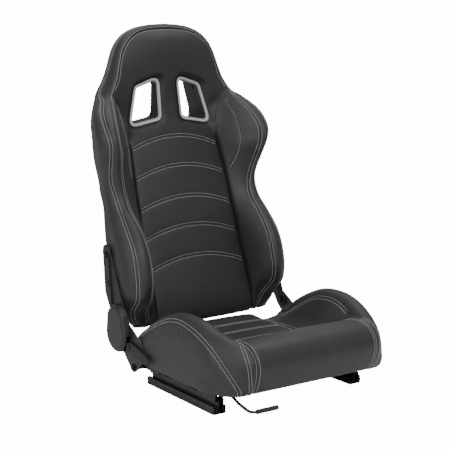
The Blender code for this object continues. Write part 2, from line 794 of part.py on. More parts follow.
def build_back(back):
    heights = (
        0.1265, 0.134, 0.152, 0.180, 0.212, 0.245, 0.300, 0.382, 0.459, 0.541, 0.600, 0.650, 0.680,
        0.705, 0.737, 0.765, 0.796, 0.826, 0.855, 0.879, 0.893, 0.8990,
    )
    rings = []
    columns = 11
    for z in heights:
        half = interpolate(CENTRE_HALF, z)[0] - GAP
        rear = interpolate(SPINE, z)[1]
        ring = [(half, rear, z), (-half, rear, z)]
        round_off = 0.004 if z < 0.13 else 0.0
        for i in range(columns):
            x = -half + 2.0 * half * i / (columns - 1)
            ring.append((x, pad_front(x, z) + round_off, z))
        rings.append(ring)
    pad = loft("back_centre_pad", rings, CENTRE_HIDE, back)

    slots = []
    for side, sign in SIDES:
        ring = [(sign * x, z) for x, z in slot_outline(BEZEL_WALL + GAP)]
        slots.append(prism_rings(ring, "Y", 0.50, 0.70))
        ring = [(sign * x, z) for x, z in slot_outline(SLOT_FLANGE + 0.0010)]
        slots.append(
            [[(x, 0.50, z) for x, z in ring], [(x, flange_seat(x, z) + 0.0006, z) for x, z in ring]]
        )
    slots.append(prism_rings(tray_outline(GAP), "Y", TRAY_FLOOR[0] - GAP, 0.70))
    carve(pad, slots)

    for side, sign in SIDES:
        rings = []
        for z, inner, crest, outer, wide, rear in BOLSTER:
            half = interpolate(CENTRE_HALF, z)[0] + GAP
            crease = pad_front(half, z)
            back_y = interpolate(SPINE, z)[1]
            if z < 0.13:
                crease += 0.004
            mid_x = half + (inner[0] - half) * 0.55
            mid_y = crease + (inner[1] - crease) * 0.45
            rings.append(
                [
                    (half, back_y, z),
                    (half, crease, z),
                    (mid_x, mid_y, z),
                    (inner[0], inner[1], z),
                    (crest[0], crest[1], z),
                    (outer[0], outer[1], z),
                    (
                        outer[0] + (wide[0] - outer[0]) * 0.72,
                        outer[1] + (wide[1] - outer[1]) * 0.42,
                        z,
                    ),
                    (wide[0], wide[1], z),
                    (rear[0], min(rear[1], back_y - 0.010), z),
                    (rear[0] - 0.014, min(rear[1] + 0.012, back_y - 0.001), z),
                ]
            )
        loft(f"back_bolster_{side}", on_side(sign, rings), BLACK_HIDE, back)

    rings = []
    stations = [(inner, outer, 1.0) for inner, outer in RIM]
    stations += [(inner, outer, -1.0) for inner, outer in reversed(RIM[:-1])]
    for inner, outer, sign in stations:
        ix, iz, iy = inner
        ox, oz, oy = outer
        rear = 0.6180
        rings.append(
            [
                (sign * ix, rear, iz),
                (sign * ix, iy, iz),
                (sign * (ix + (ox - ix) * 0.40), iy + (oy - iy) * 0.12, iz + (oz - iz) * 0.40),
                (sign * (ix + (ox - ix) * 0.82), iy + (oy - iy) * 0.50, iz + (oz - iz) * 0.82),
                (sign * ox, oy, oz),
                (sign * (ox - (ox - ix) * 0.15), rear - 0.020, oz - (oz - iz) * 0.15),
                (sign * (ix + (ox - ix) * 0.35), rear, iz + (oz - iz) * 0.35),
            ]
        )
    loft("headrest_rim", rings, BLACK_HIDE, back)

    # hoop of bent tube behind the foam, its cross tube and two zigzag springs
    def rear_y(z):
        return interpolate(SPINE, z)[1] + 0.0015 + TUBE_R

    hoop = []
    for x, z in (
        (-0.206, 0.175), (-0.205, 0.300), (-0.194, 0.450), (-0.191, 0.560), (-0.176, 0.655),
        (-0.150, 0.722), (-0.123, 0.780), (-0.098, 0.812), (-0.050, 0.826), (0.0, 0.828),
    ):
        hoop.append((x, rear_y(z), z))
    hoop += [(-x, y, z) for x, y, z in reversed(hoop[:-1])]
    tube("back_frame_hoop", hoop, TUBE_R, 8, BLACK_STEEL, back, 2)
    reach = 0.206 - TUBE_R - 0.0012
    bar = circle(rear_y(0.200) - 0.001, 0.200, 0.0080, 10)
    prism("back_cross_tube", bar, "X", -reach, reach, BLACK_STEEL, back, 60.0)
    for k, z in enumerate((0.310, 0.450)):
        points = []
        waves = 8
        reach = 0.180
        for i in range(4 * waves + 1):
            t = i / (4.0 * waves)
            swing = 0.014 * math.sin(2.0 * math.pi * waves * t)
            height = z + swing
            points.append((-reach + 2.0 * reach * t, rear_y(height) - 0.006, height))
        tube(f"back_spring_{k + 1}", points, 0.0017, 5, SPRING_STEEL, back, 1)

    # rear shell: an open-fronted tray over the frame
    shell_heights = (
        0.165, 0.240, 0.320, 0.400, 0.440, 0.475, 0.510, 0.545, 0.590, 0.624, 0.650,
        0.680, 0.700, 0.718, 0.7335, 0.765, 0.800, 0.850, 0.876, 0.893,
    )

    def shell_half(z):
        table = (
            (0.165, 0.224), (0.240, 0.224), (0.320, 0.221), (0.420, 0.213), (0.520, 0.211),
            (0.620, 0.205), (0.690, 0.190), (0.740, 0.160), (0.800, 0.137), (0.850, 0.115),
            (0.876, 0.101), (0.893, 0.084),
        )
        return interpolate(table, z)[0]

    def shell_ring(z, inset, front, depth):
        half = shell_half(z) - inset
        base = interpolate(SPINE, z)[1]
        if z > 0.60:
            base = max(base, 0.610)
        rear = base + 0.0330 + depth - 0.38 * max(0.0, z - 0.850)
        lip = foam_rear(half, z) + front
        return [
            (half, lip, z),
            (half, rear - 0.012, z),
            (half - 0.008, rear - 0.002, z),
            (half - 0.040, rear, z),
            (0.0, rear + 0.002, z),
            (-half + 0.040, rear, z),
            (-half + 0.008, rear - 0.002, z),
            (-half, rear - 0.012, z),
            (-half, lip, z),
        ]

    outer = [shell_ring(z, 0.0, 0.0048, 0.0) for z in shell_heights]
    shell = loft("back_shell", outer, SHELL_PLASTIC, back)
    lift = {0.165: 0.1680, 0.893: 0.8900}
    hollow = [
        [(x, y, lift.get(z, z)) for x, y, z in shell_ring(z, 0.003, -0.020, -0.003)]
        for z in shell_heights
    ]
    carve(shell, [hollow])
    carve(shell, [prism_rings(tray_outline(GAP), "Y", 0.50, 0.70)])

    for side, sign in SIDES:
        def ring_at(grow):
            return [(sign * x, z) for x, z in slot_outline(grow)]

        front_face = []
        for y, grow in ((0.0, 0.0), (-0.0040, -0.0010), (-0.0060, -0.0045)):
            outline = ring_at(SLOT_FLANGE + grow)
            front_face.append([(x, y + flange_seat(x, z), z) for x, z in outline])
        flange = loft(f"harness_bezel_{side}", front_face, BEZEL_PLASTIC, back)
        tunnel = prism_rings(ring_at(BEZEL_WALL), "Y", 0.5630, TUNNEL_END)
        carve(flange, [tunnel], "UNION")
        carve(flange, [prism_rings(ring_at(0.0), "Y", 0.50, 0.70)])

    # one drafted tray lines the recess behind both slots
    tray = loft(
        "harness_back_tray",
        [
            tray_face(0.0, TRAY_FLOOR[0]),
            tray_face(0.0, TRAY_LIP[0]),
            tray_face(0.0060, TRAY_LIP[0]),
            tray_face(0.0050, TRAY_LIP[1]),
        ],
        SHELL_PLASTIC,
        back,
    )
    holes = [[tray_face(-0.0060, TRAY_FLOOR[1]), tray_face(-0.0025, 0.70)]]
    for side, sign in SIDES:
        ring = [(sign * x, z) for x, z in slot_outline(0.0)]
        holes.append(prism_rings(ring, "Y", 0.50, 0.70))
    carve(tray, holes)


def flange_seat(x, z):
    """The leaning plane that a bezel's flange rests on."""
    return 0.5510 + 0.16 * (z - 0.650) + 0.07 * (abs(x) - 0.040)


# ---- slide release -------------------------------------------------------------------
def build_release(slide, release):
    ay, az = RELEASE_AXIS
    reach = RAIL_X - 0.0205
    for side, sign in SIDES:
        x0 = sign * (RAIL_X - 0.0305)
        x1 = sign * (RAIL_X - 0.0275)
        bracket = prism(
            f"release_bracket_{side}",
            [
                (ay - 0.008, 0.0370),
                (ay + 0.028, 0.0346),
                (ay + 0.028, 0.0420),
                (ay + 0.010, az + 0.006),
                (ay + 0.004, az + 0.0085),
                (ay - 0.004, az + 0.0085),
                (ay - 0.008, az + 0.004),
            ],
            "X",
            x0,
            x1,
            BLACK_STEEL,
            slide,
        )
        foot = prism_rings(
            box_outline(ay + 0.016, ay + 0.028, 0.0346, 0.0366), "X", x0, sign * (RAIL_X - 0.0080)
        )
        carve(bracket, [foot], "UNION")
        carve(bracket, [prism_rings(circle(ay, az, ROD_R + 0.0005, 12), "X", x0 - 0.01, x1 + 0.01)])
        cx0 = sign * (RAIL_X - 0.0265)
        cx1 = sign * (RAIL_X - 0.0235)
        claw = prism(
            f"release_claw_{side}",
            [
                (ay - 0.007, az + 0.007),
                (ay + 0.007, az + 0.007),
                (ay + 0.010, 0.020),
                (ay + 0.012, 0.006),
                (ay + 0.006, 0.006),
                (ay + 0.004, 0.013),
                (ay - 0.002, 0.013),
                (ay - 0.004, 0.006),
                (ay - 0.010, 0.006),
                (ay - 0.008, 0.022),
            ],
            "X",
            cx0,
            cx1,
            BLACK_STEEL,
            release,
        )
        carve(claw, [prism_rings(circle(ay, az, ROD_R + 0.0004, 12), "X", cx0 - 0.01, cx1 + 0.01)])
    # lever: from the cross rod forward, then across under the front roll
    points = [
        (-0.1720, ay, az),
        (-0.1790, 0.000, 0.0420),
        (-0.1920, -0.050, 0.0370),
        (-0.2000, -0.095, 0.0345),
        (-0.1995, -0.109, 0.0340),
        (-0.1920, -0.1145, 0.0335),
        (-0.1880, -0.1150, 0.0330),
    ]
    bar = tube("release_bar", points, ROD_R, 8, BLACK_STEEL, release, 3)
    carve(bar, [prism_rings(circle(ay, az, ROD_R, 12), "X", -reach, reach)], "UNION")
    path = [Vector((-0.1868 + 0.0125 * k, -0.1150, 0.0330)) for k in range(6)]
    loft("release_grip", tube_rings(path, 0.0060, 12), GRIP_RUBBER, release, angle=60.0)


# ---- assembly -----------------------------------------------------------------------
def main():
    clear_scene()
    floor = pivot_empty("floor_origin", None, 0.0, -SHIFT_Y, 0.0)
    slide = pivot_empty("seat_slide_axis", floor, 0.0, 0.0, 0.0)
    cages = pivot_empty("slide_cage_axis", floor, 0.0, 0.0, 0.0)
    back = pivot_empty("recline_axis", slide, 0.0, *PIVOT)
    lever = pivot_empty("lever_axis", slide, -0.272, *LEVER_PIVOT)
    release = pivot_empty("release_axis", slide, 0.0, *RELEASE_AXIS)
    build_rails(floor, slide, cages)
    build_cushion(slide)
    build_recliner(slide, back, lever)
    build_back(back)
    build_release(slide, release)
    bpy.context.view_layer.update()


main()
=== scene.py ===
"""Looks of the reclining racing seat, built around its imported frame."""

import json
import math

import bmesh
import bpy
import numpy as np
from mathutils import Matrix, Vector


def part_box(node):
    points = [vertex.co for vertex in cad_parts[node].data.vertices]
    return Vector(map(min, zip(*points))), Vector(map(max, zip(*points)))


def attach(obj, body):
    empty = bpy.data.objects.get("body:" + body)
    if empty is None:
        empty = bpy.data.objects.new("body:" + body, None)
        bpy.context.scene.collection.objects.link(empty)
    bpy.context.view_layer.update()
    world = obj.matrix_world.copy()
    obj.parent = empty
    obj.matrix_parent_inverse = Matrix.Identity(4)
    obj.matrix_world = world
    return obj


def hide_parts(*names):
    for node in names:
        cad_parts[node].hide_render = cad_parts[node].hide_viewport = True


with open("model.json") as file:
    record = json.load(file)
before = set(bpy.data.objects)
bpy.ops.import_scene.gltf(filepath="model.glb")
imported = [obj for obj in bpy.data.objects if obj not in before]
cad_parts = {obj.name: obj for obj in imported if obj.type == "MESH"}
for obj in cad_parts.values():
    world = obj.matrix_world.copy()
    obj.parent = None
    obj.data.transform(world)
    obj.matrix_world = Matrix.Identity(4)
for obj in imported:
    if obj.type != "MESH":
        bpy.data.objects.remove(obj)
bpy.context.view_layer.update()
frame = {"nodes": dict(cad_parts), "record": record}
NODES = frame["nodes"]
SHIFT_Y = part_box("rail_lower_right")[0].y      # the tables below start at the rails' front ends
rng = np.random.default_rng(7)

# ---- the design's stations (metres; y from the rails' front ends) -----------------------
SPINE = (
    (0.112, 0.3665), (0.150, 0.368), (0.180, 0.374), (0.245, 0.397), (0.303, 0.421), (0.382, 0.448),
    (0.459, 0.473), (0.541, 0.502), (0.618, 0.533), (0.660, 0.5485), (0.700, 0.5570),
    (0.735, 0.5575), (0.765, 0.5540), (0.800, 0.5495), (0.830, 0.5490), (0.860, 0.5540),
    (0.885, 0.5650), (0.9035, 0.5850),
)
BACK_PLANE = (
    (0.112, 0.398), (0.150, 0.420), (0.180, 0.434), (0.245, 0.460), (0.303, 0.483), (0.382, 0.511),
    (0.459, 0.538), (0.541, 0.568), (0.618, 0.596), (0.660, 0.608), (0.700, 0.616),
    (0.774, 0.622), (0.840, 0.624), (0.9035, 0.624),
)
CENTRE_HALF = (
    (0.112, 0.157), (0.300, 0.157), (0.380, 0.155), (0.450, 0.151), (0.510, 0.149),
    (0.560, 0.145), (0.600, 0.143), (0.650, 0.145), (0.680, 0.152), (0.705, 0.168),
    (0.720, 0.178), (0.7335, 0.184), (0.765, 0.1665), (0.796, 0.1565), (0.8265, 0.1475),
    (0.856, 0.134), (0.880, 0.111), (0.896, 0.078), (0.902, 0.040), (0.9035, 0.004),
)
BOLSTER = (
    (0.127, (0.172, 0.392), (0.187, 0.387), (0.203, 0.390), (0.214, 0.400), (0.216, 0.414)),
    (0.148, (0.182, 0.386), (0.201, 0.378), (0.222, 0.386), (0.234, 0.404), (0.234, 0.432)),
    (0.180, (0.190, 0.372), (0.211, 0.362), (0.234, 0.373), (0.247, 0.396), (0.245, 0.450)),
    (0.212, (0.196, 0.340), (0.216, 0.331), (0.237, 0.342), (0.252, 0.378), (0.2465, 0.460)),
    (0.245, (0.196, 0.330), (0.216, 0.322), (0.237, 0.338), (0.256, 0.378), (0.2465, 0.470)),
    (0.290, (0.194, 0.337), (0.215, 0.328), (0.237, 0.343), (0.257, 0.388), (0.2465, 0.485)),
    (0.345, (0.194, 0.357), (0.214, 0.348), (0.234, 0.365), (0.255, 0.405), (0.2460, 0.500)),
    (0.400, (0.195, 0.401), (0.213, 0.394), (0.229, 0.413), (0.248, 0.445), (0.2400, 0.515)),
    (0.440, (0.197, 0.446), (0.213, 0.439), (0.226, 0.449), (0.240, 0.478), (0.2350, 0.527)),
    (0.475, (0.200, 0.461), (0.214, 0.456), (0.228, 0.468), (0.241, 0.495), (0.2370, 0.537)),
    (0.510, (0.207, 0.461), (0.221, 0.456), (0.236, 0.474), (0.247, 0.500), (0.2390, 0.539)),
    (0.545, (0.2145, 0.452), (0.229, 0.446), (0.243, 0.462), (0.2565, 0.490), (0.2460, 0.542)),
    (0.590, (0.2225, 0.437), (0.237, 0.430), (0.250, 0.443), (0.2670, 0.473), (0.2530, 0.540)),
    (0.624, (0.2266, 0.441), (0.241, 0.432), (0.254, 0.442), (0.2730, 0.474), (0.2560, 0.538)),
    (0.650, (0.224, 0.456), (0.240, 0.448), (0.2550, 0.460), (0.2715, 0.485), (0.2560, 0.543)),
    (0.680, (0.2145, 0.483), (0.232, 0.476), (0.248, 0.490), (0.2625, 0.509), (0.2500, 0.551)),
    (0.700, (0.2045, 0.507), (0.221, 0.503), (0.236, 0.517), (0.247, 0.533), (0.238, 0.564)),
    (0.718, (0.194, 0.527), (0.208, 0.529), (0.219, 0.540), (0.227, 0.553), (0.225, 0.578)),
)
RIM = (
    ((0.1840, 0.7335, 0.5450), (0.203, 0.7360, 0.568)),
    ((0.1665, 0.7650, 0.5510), (0.183, 0.768, 0.577)),
    ((0.1565, 0.7960, 0.5555), (0.170, 0.800, 0.577)),
    ((0.1475, 0.8265, 0.5610), (0.160, 0.831, 0.578)),
    ((0.1340, 0.8560, 0.5665), (0.1475, 0.860, 0.581)),
    ((0.1110, 0.8800, 0.5730), (0.1235, 0.887, 0.586)),
    ((0.0780, 0.8960, 0.5800), (0.085, 0.906, 0.591)),
    ((0.0400, 0.9020, 0.5840), (0.043, 0.9135, 0.596)),
    ((0.0000, 0.9035, 0.5850), (0.000, 0.9155, 0.598)),
)
RIM_REAR = 0.6180
WING_SEAM = (
    (0.150, 0.50), (0.450, 0.42), (0.490, 0.20), (0.5115, 0.10), (0.538, 0.38), (0.565, 0.50),
    (0.592, 0.537), (0.617, 0.515), (0.641, 0.49), (0.6655, 0.49), (0.690, 0.36),
    (0.712, 0.12), (0.737, 0.10),
)
WING_LOW, WING_HIGH = 0.5130, 0.7120   # the wing face shows its seam between these
WING_SEAM_GAP = 0.0030
ARCS = (0.298, 0.377, 0.454, 0.536, 0.613)
ARC_DROP = 0.034
SLOT = ((0.037, 0.764), (0.0975, 0.7435), (0.1225, 0.6490), (0.0400, 0.6640))
SLOT_FLANGE = 0.0100
BEZEL_WALL = 0.0025
TRAY = ((0.060, 0.784), (0.108, 0.766), (0.134, 0.662), (0.128, 0.634),
        (-0.128, 0.634), (-0.134, 0.662), (-0.108, 0.766), (-0.060, 0.784))
TRAY_FLOOR = 0.5915

# cushion bolster: lines from rear to front, each (x, y, z)
CB_BASE = (
    (0.1805, 0.325, 0.064), (0.1300, 0.332, 0.112), (0.1215, 0.285, 0.1265), (0.1205, 0.220, 0.1290),
    (0.1205, 0.145, 0.1300), (0.1220, 0.078, 0.1320), (0.1440, 0.042, 0.1430), (0.1790, 0.006, 0.1735),
    (0.1812, -0.040, 0.1840), (0.1812, -0.075, 0.1800), (0.1812, -0.100, 0.1660), (0.1812, -0.1145, 0.1420),
    (0.1812, -0.1140, 0.1180), (0.1812, -0.1090, 0.0960), (0.1812, -0.1000, 0.0760), (0.1812, -0.085, 0.0645),
)
CB_INNER = (
    (0.1960, 0.327, 0.064), (0.1985, 0.331, 0.113), (0.2000, 0.285, 0.1280), (0.2000, 0.220, 0.1675),
    (0.2000, 0.145, 0.2040), (0.2000, 0.078, 0.2085), (0.1985, 0.042, 0.2000), (0.1930, 0.006, 0.1870),
    (0.1920, -0.040, 0.1880), (0.1920, -0.075, 0.1820), (0.1915, -0.100, 0.1665), (0.1905, -0.1130, 0.1430),
    (0.1895, -0.1120, 0.1180), (0.1885, -0.1070, 0.0960), (0.1875, -0.0990, 0.0760), (0.1870, -0.084, 0.0645),
)
CB_CREST = (
    (0.2280, 0.332, 0.064), (0.2280, 0.336, 0.118), (0.2280, 0.290, 0.1560), (0.2280, 0.218, 0.1980),
    (0.2280, 0.145, 0.2250), (0.2280, 0.074, 0.2285), (0.2270, 0.038, 0.2235), (0.2250, 0.004, 0.2125),
    (0.2220, -0.038, 0.1960), (0.2190, -0.069, 0.1770), (0.2160, -0.090, 0.1530), (0.2120, -0.101, 0.1300),
    (0.2080, -0.1035, 0.1090), (0.2040, -0.1020, 0.0920), (0.2010, -0.0970, 0.0760), (0.1990, -0.083, 0.0645),
)
CB_SEAM = (
    (0.2530, 0.325, 0.064), (0.2540, 0.327, 0.113), (0.2550, 0.277, 0.1500), (0.2560, 0.205, 0.1890),
    (0.2565, 0.150, 0.2090), (0.2565, 0.098, 0.2130), (0.2560, 0.060, 0.2060), (0.2545, 0.020, 0.1925),
    (0.2505, -0.020, 0.1710), (0.2445, -0.047, 0.1475), (0.2385, -0.064, 0.1270), (0.2325, -0.078, 0.1090),
    (0.2270, -0.088, 0.0950), (0.2220, -0.092, 0.0830), (0.2180, -0.091, 0.0730), (0.2150, -0.083, 0.0645),
)
CB_SIDE = (
    (0.2600, 0.321, 0.066), (0.2605, 0.316, 0.105), (0.2610, 0.268, 0.1380), (0.2618, 0.202, 0.1720),
    (0.2620, 0.148, 0.1880), (0.2620, 0.100, 0.1900), (0.2620, 0.066, 0.1840), (0.2615, 0.030, 0.1720),
    (0.2600, -0.006, 0.1530), (0.2565, -0.032, 0.1330), (0.2510, -0.049, 0.1160), (0.2450, -0.063, 0.1010),
    (0.2385, -0.073, 0.0890), (0.2320, -0.078, 0.0790), (0.2270, -0.079, 0.0710), (0.2220, -0.077, 0.0645),
)
CB_FOOT_Y = (0.318, 0.300, 0.262, 0.205, 0.158, 0.118, 0.086, 0.052, 0.022, -0.004, -0.022, -0.036,
             -0.047, -0.055, -0.061, -0.066)
ROLL = (
    (0.034, 0.066), (0.036, 0.128), (0.024, 0.158), (0.004, 0.1745), (-0.025, 0.184), (-0.055, 0.1855),
    (-0.085, 0.179), (-0.104, 0.164), (-0.1160, 0.141), (-0.115, 0.118), (-0.109, 0.096), (-0.100, 0.076),
    (-0.085, 0.066),
)
ROLL_HALF = 0.1810
INSERT_HALF = 0.1205
INSERT = (
    (0.0372, 0.1335), (0.060, 0.1310), (0.100, 0.1300), (0.160, 0.1305), (0.220, 0.1305),
    (0.280, 0.1300), (0.325, 0.1320), (0.346, 0.1290), (0.3560, 0.1160), (0.3585, 0.0980),
)
CROSS_SEAMS = (0.130, 0.200, 0.270)
GUSSET_Y = -0.045             # the gusset beside the roll lies in front of this
GUSSET_LOW = 0.072
GUSSET_GAP = 0.0060
GUSSET_BOW = 0.0150
GUSSET_ROWS_APART = 0.0075

STITCH_PITCH = 0.0062
STITCH_LEN = 0.0045
STITCH_R = 0.00044
STITCH_SIDES = 6
SEAM_OFFSET = 0.0048


# ---- curves and grids --------------------------------------------------------------------
def hermite(x, y, xq):
    """Cubic through (x, y) along the first axis, with Catmull-Rom tangents."""
    x = np.asarray(x, float)
    y = np.asarray(y, float)
    xq = np.clip(np.asarray(xq, float), x[0], x[-1])
    shape = (-1,) + (1,) * (y.ndim - 1)
    h = np.diff(x).reshape(shape)
    d = np.diff(y, axis=0) / h
    m = np.empty_like(y)
    m[0] = d[0]
    m[-1] = d[-1]
    m[1:-1] = (d[:-1] * h[1:] + d[1:] * h[:-1]) / (h[1:] + h[:-1])
    i = np.clip(np.searchsorted(x, xq, side="right") - 1, 0, len(x) - 2)
    hi = h[i]
    t = ((xq - x[i]) / np.diff(x)[i]).reshape(shape)
    t2, t3 = t * t, t * t * t
    return (
        (2 * t3 - 3 * t2 + 1) * y[i]
        + (t3 - 2 * t2 + t) * hi * m[i]
        + (-2 * t3 + 3 * t2) * y[i + 1]
        + (t3 - t2) * hi * m[i + 1]
    )


def smoothed(a, sigma):
    """Gaussian smoothing along the first axis; the end rows stay where they are."""
    if sigma <= 0:
        return a
    n = int(3 * sigma) + 1
    k = np.exp(-0.5 * (np.arange(-n, n + 1) / sigma) ** 2)
    k /= k.sum()
    n = min(n, len(a) - 1)
    k = k[len(k) // 2 - n: len(k) // 2 + n + 1]
    k = k / k.sum()
    front = 2 * a[0] - a[n:0:-1]
    back = 2 * a[-1] - a[-2: -n - 2: -1]
    whole = np.concatenate([front, a, back])
    out = np.zeros_like(a)
    for i, w in enumerate(k):
        out += w * whole[i: i + len(a)]
    return out


def step(lo, hi, v):
    t = np.clip((np.asarray(v, float) - lo) / (hi - lo), 0.0, 1.0)
    return t * t * (3 - 2 * t)


Z_LINE = np.linspace(0.112, 0.9035, 946)


def line_of(table, sigma=9.0):
    rows = np.array([row[:2] for row in table], float)
    return smoothed(hermite(rows[:, 0], rows[:, 1], Z_LINE), sigma)


SPINE_LINE = line_of(SPINE)
HALF_LINE = line_of(CENTRE_HALF, 4.0)
PLANE_LINE = line_of(BACK_PLANE)


def spine(z):
    return np.interp(z, Z_LINE, SPINE_LINE)


def half_width(z):
    return np.interp(z, Z_LINE, HALF_LINE)


def back_plane(z):
    return np.interp(z, Z_LINE, PLANE_LINE)


def arc_sample(points, fractions):
    """Points along a polyline's smooth curve at fractions of its length."""
    p = np.array(points, float)
    s = np.concatenate([[0], np.cumsum(np.linalg.norm(np.diff(p, axis=0), axis=1))])
    dense = hermite(s, p, np.linspace(0, s[-1], 80))
    length = np.concatenate([[0], np.cumsum(np.linalg.norm(np.diff(dense, axis=0), axis=1))])
    goal = np.asarray(fractions) * length[-1]
    return np.stack([np.interp(goal, length, dense[:, k]) for k in range(3)], axis=1)


SPAN_STEPS = 24


class Surface:
    """Stations down a path; each is a section made of spans that end on seams.
    A column coordinate is the span's number plus the fraction along it."""

    def __init__(self, stations, sigma=2.5, row_step=0.004):
        rows = []
        for spans in stations:
            row = [arc_sample(spans[0], np.linspace(0, 1, SPAN_STEPS + 1))]
            for span in spans[1:]:
                row.append(arc_sample(span, np.linspace(0, 1, SPAN_STEPS + 1))[1:])
            rows.append(np.concatenate(row))
        rows = np.array(rows)
        gap = np.linalg.norm(np.diff(rows, axis=0), axis=2).mean(axis=1)
        path = np.concatenate([[0], np.cumsum(np.maximum(gap, 1e-4))])
        self.length = path[-1]
        count = max(8, int(self.length / row_step))
        self.path = np.linspace(0, self.length, count)
        self.grid = smoothed(hermite(path, rows, self.path), sigma)
        self.columns = np.linspace(0, len(stations[0]), rows.shape[1])

    def at(self, rows, cols):
        """The surface at row coordinates (metres down the path) and column coordinates."""
        g = hermite(self.path, self.grid, rows)
        return np.swapaxes(hermite(self.columns, np.swapaxes(g, 0, 1), cols), 0, 1)

    def widths(self):
        spans = len(self.columns) // SPAN_STEPS
        out = []
        for k in range(spans):
            part = self.grid[:, k * SPAN_STEPS: (k + 1) * SPAN_STEPS + 1]
            out.append(float(np.linalg.norm(np.diff(part, axis=1), axis=2).sum(axis=1).mean()))
        return out


NEAR = (0.0009, 0.0018, 0.0029, 0.0042, 0.0057, 0.0078)


def span_columns(width, at_start, at_end, stride=0.0055):
    """Fractions across a span, close together beside its seams."""
    lead = [d for d in NEAR if at_start and d < width * 0.45]
    tail = [width - d for d in NEAR if at_end and d < width * 0.45]
    lo = lead[-1] if lead else 0.0
    hi = tail[-1] if tail else width
    count = max(1, int(round((hi - lo) / stride)))
    middle = [lo + (hi - lo) * i / count for i in range(1, count)]
    inside = sorted(lead + middle + tail)
    return [0.0] + [v / width for v in inside] + [1.0]


def all_columns(widths, seams, stride=0.0055):
    """Column coordinates of every span; seams is the set of span borders that are seams."""
    cols = [0.0]
    for k, width in enumerate(widths):
        part = span_columns(width, k in seams, (k + 1) in seams, stride)
        cols += [k + v for v in part[1:]]
    return np.array(cols)


def normals_of(grid):
    du = np.gradient(grid, axis=1)
    dv = np.gradient(grid, axis=0)
    n = np.cross(du, dv)
    size = np.linalg.norm(n, axis=2, keepdims=True)
    return n / np.maximum(size, 1e-12)


def distance_across(grid, col, axis=1):
    """Signed distance of every point from one column (or row), along the surface."""
    g = grid if axis == 1 else np.swapaxes(grid, 0, 1)
    d = np.linalg.norm(np.diff(g, axis=1), axis=2)
    s = np.concatenate([np.zeros((len(g), 1)), np.cumsum(d, axis=1)], axis=1)
    s = s - s[:, col: col + 1]
    return s if axis == 1 else s.T


def seam_dip(d, double=True):
    """How deep the cover is drawn in at a distance from a seam."""
    d = np.abs(d)
    dip = 0.00135 * np.exp(-((d / 0.0013) ** 2))
    if double:
        dip = dip + 0.00060 * np.exp(-(((d - SEAM_OFFSET) / 0.0012) ** 2))
        dip = dip + 0.00035 * np.exp(-((d / 0.0085) ** 2))
    else:
        dip = dip + 0.00045 * np.exp(-(((d - WING_SEAM_GAP) / 0.0012) ** 2))
    return dip


# ---- cloth ------------------------------------------------------------------------------
def puff(points, pinned, outward, cap, pressure=4.0, frames=16):
    """Inflates a sheet held along its seams with a cloth simulation; gives the movement."""
    nr, nc = points.shape[:2]
    mesh = bpy.data.meshes.new("cloth")
    faces = []
    for r in range(nr - 1):
        for c in range(nc - 1):
            a, b = r * nc + c, r * nc + c + 1
            quad = (a, b, b + nc, a + nc)
            faces.append(quad if outward > 0 else tuple(reversed(quad)))
    mesh.from_pydata(points.reshape(-1, 3).tolist(), [], faces)
    sheet = bpy.data.objects.new("cloth", mesh)
    bpy.context.scene.collection.objects.link(sheet)
    group = sheet.vertex_groups.new(name="pin")
    for index in np.nonzero(pinned.ravel())[0]:
        group.add([int(index)], 1.0, "REPLACE")
    cloth = sheet.modifiers.new("cloth", "CLOTH")
    s = cloth.settings
    s.quality = 5
    s.mass = 0.35
    s.tension_stiffness = 25
    s.compression_stiffness = 25
    s.shear_stiffness = 12
    s.bending_stiffness = 3.0
    s.tension_damping = 8
    s.air_damping = 2
    s.use_pressure = True
    s.uniform_pressure_force = pressure
    s.vertex_group_mass = "pin"
    s.pin_stiffness = 30
    s.effector_weights.gravity = 0.0
    scene = bpy.context.scene
    cloth.point_cache.frame_start = 1
    cloth.point_cache.frame_end = frames
    for f in range(1, frames + 1):
        scene.frame_set(f)
    graph = bpy.context.evaluated_depsgraph_get()
    done = sheet.evaluated_get(graph).data
    out = np.zeros(nr * nc * 3)
    done.vertices.foreach_get("co", out)
    scene.frame_set(1)
    bpy.data.objects.remove(sheet)
    move = out.reshape(points.shape) - points
    size = np.linalg.norm(move, axis=2, keepdims=True)
    return move * (cap * np.tanh(size / cap) / np.maximum(size, 1e-9))


def spread(move, from_rows, from_cols, rows, cols):
    g = hermite(from_rows, move, rows)
    return np.swapaxes(hermite(from_cols, np.swapaxes(g, 0, 1), cols), 0, 1)


def pins(base, *columns):
    """Points held in a soft sheet: its whole border and the given columns."""
    held = np.zeros(base.shape[:2], bool)
    held[[0, -1]] = True
    held[:, [0, -1, *columns]] = True
    return held


def facing(normals, row, col, toward):
    """The sign that turns a grid's normals towards a direction."""
    return 1.0 if normals[row, col] @ np.array(toward) > 0 else -1.0


# ---- meshes ------------------------------------------------------------------------------
def to_object(name, verts, faces, mats, body):
    mesh = bpy.data.meshes.new(name)
    mesh.from_pydata([tuple(v) for v in verts], [], faces)
    mesh.validate()
    bm = bmesh.new()
    bm.from_mesh(mesh)
    bmesh.ops.recalc_face_normals(bm, faces=bm.faces)
    bm.to_mesh(mesh)
    bm.free()
    for m in mats:
        mesh.materials.append(m)
    mesh.shade_smooth()
    obj = bpy.data.objects.new(name, mesh)
    bpy.context.scene.collection.objects.link(obj)
    obj.location = (0, SHIFT_Y, 0)
    bpy.context.view_layer.update()
    obj.data.transform(obj.matrix_world)
    obj.location = (0, 0, 0)
    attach(obj, body)
    return obj


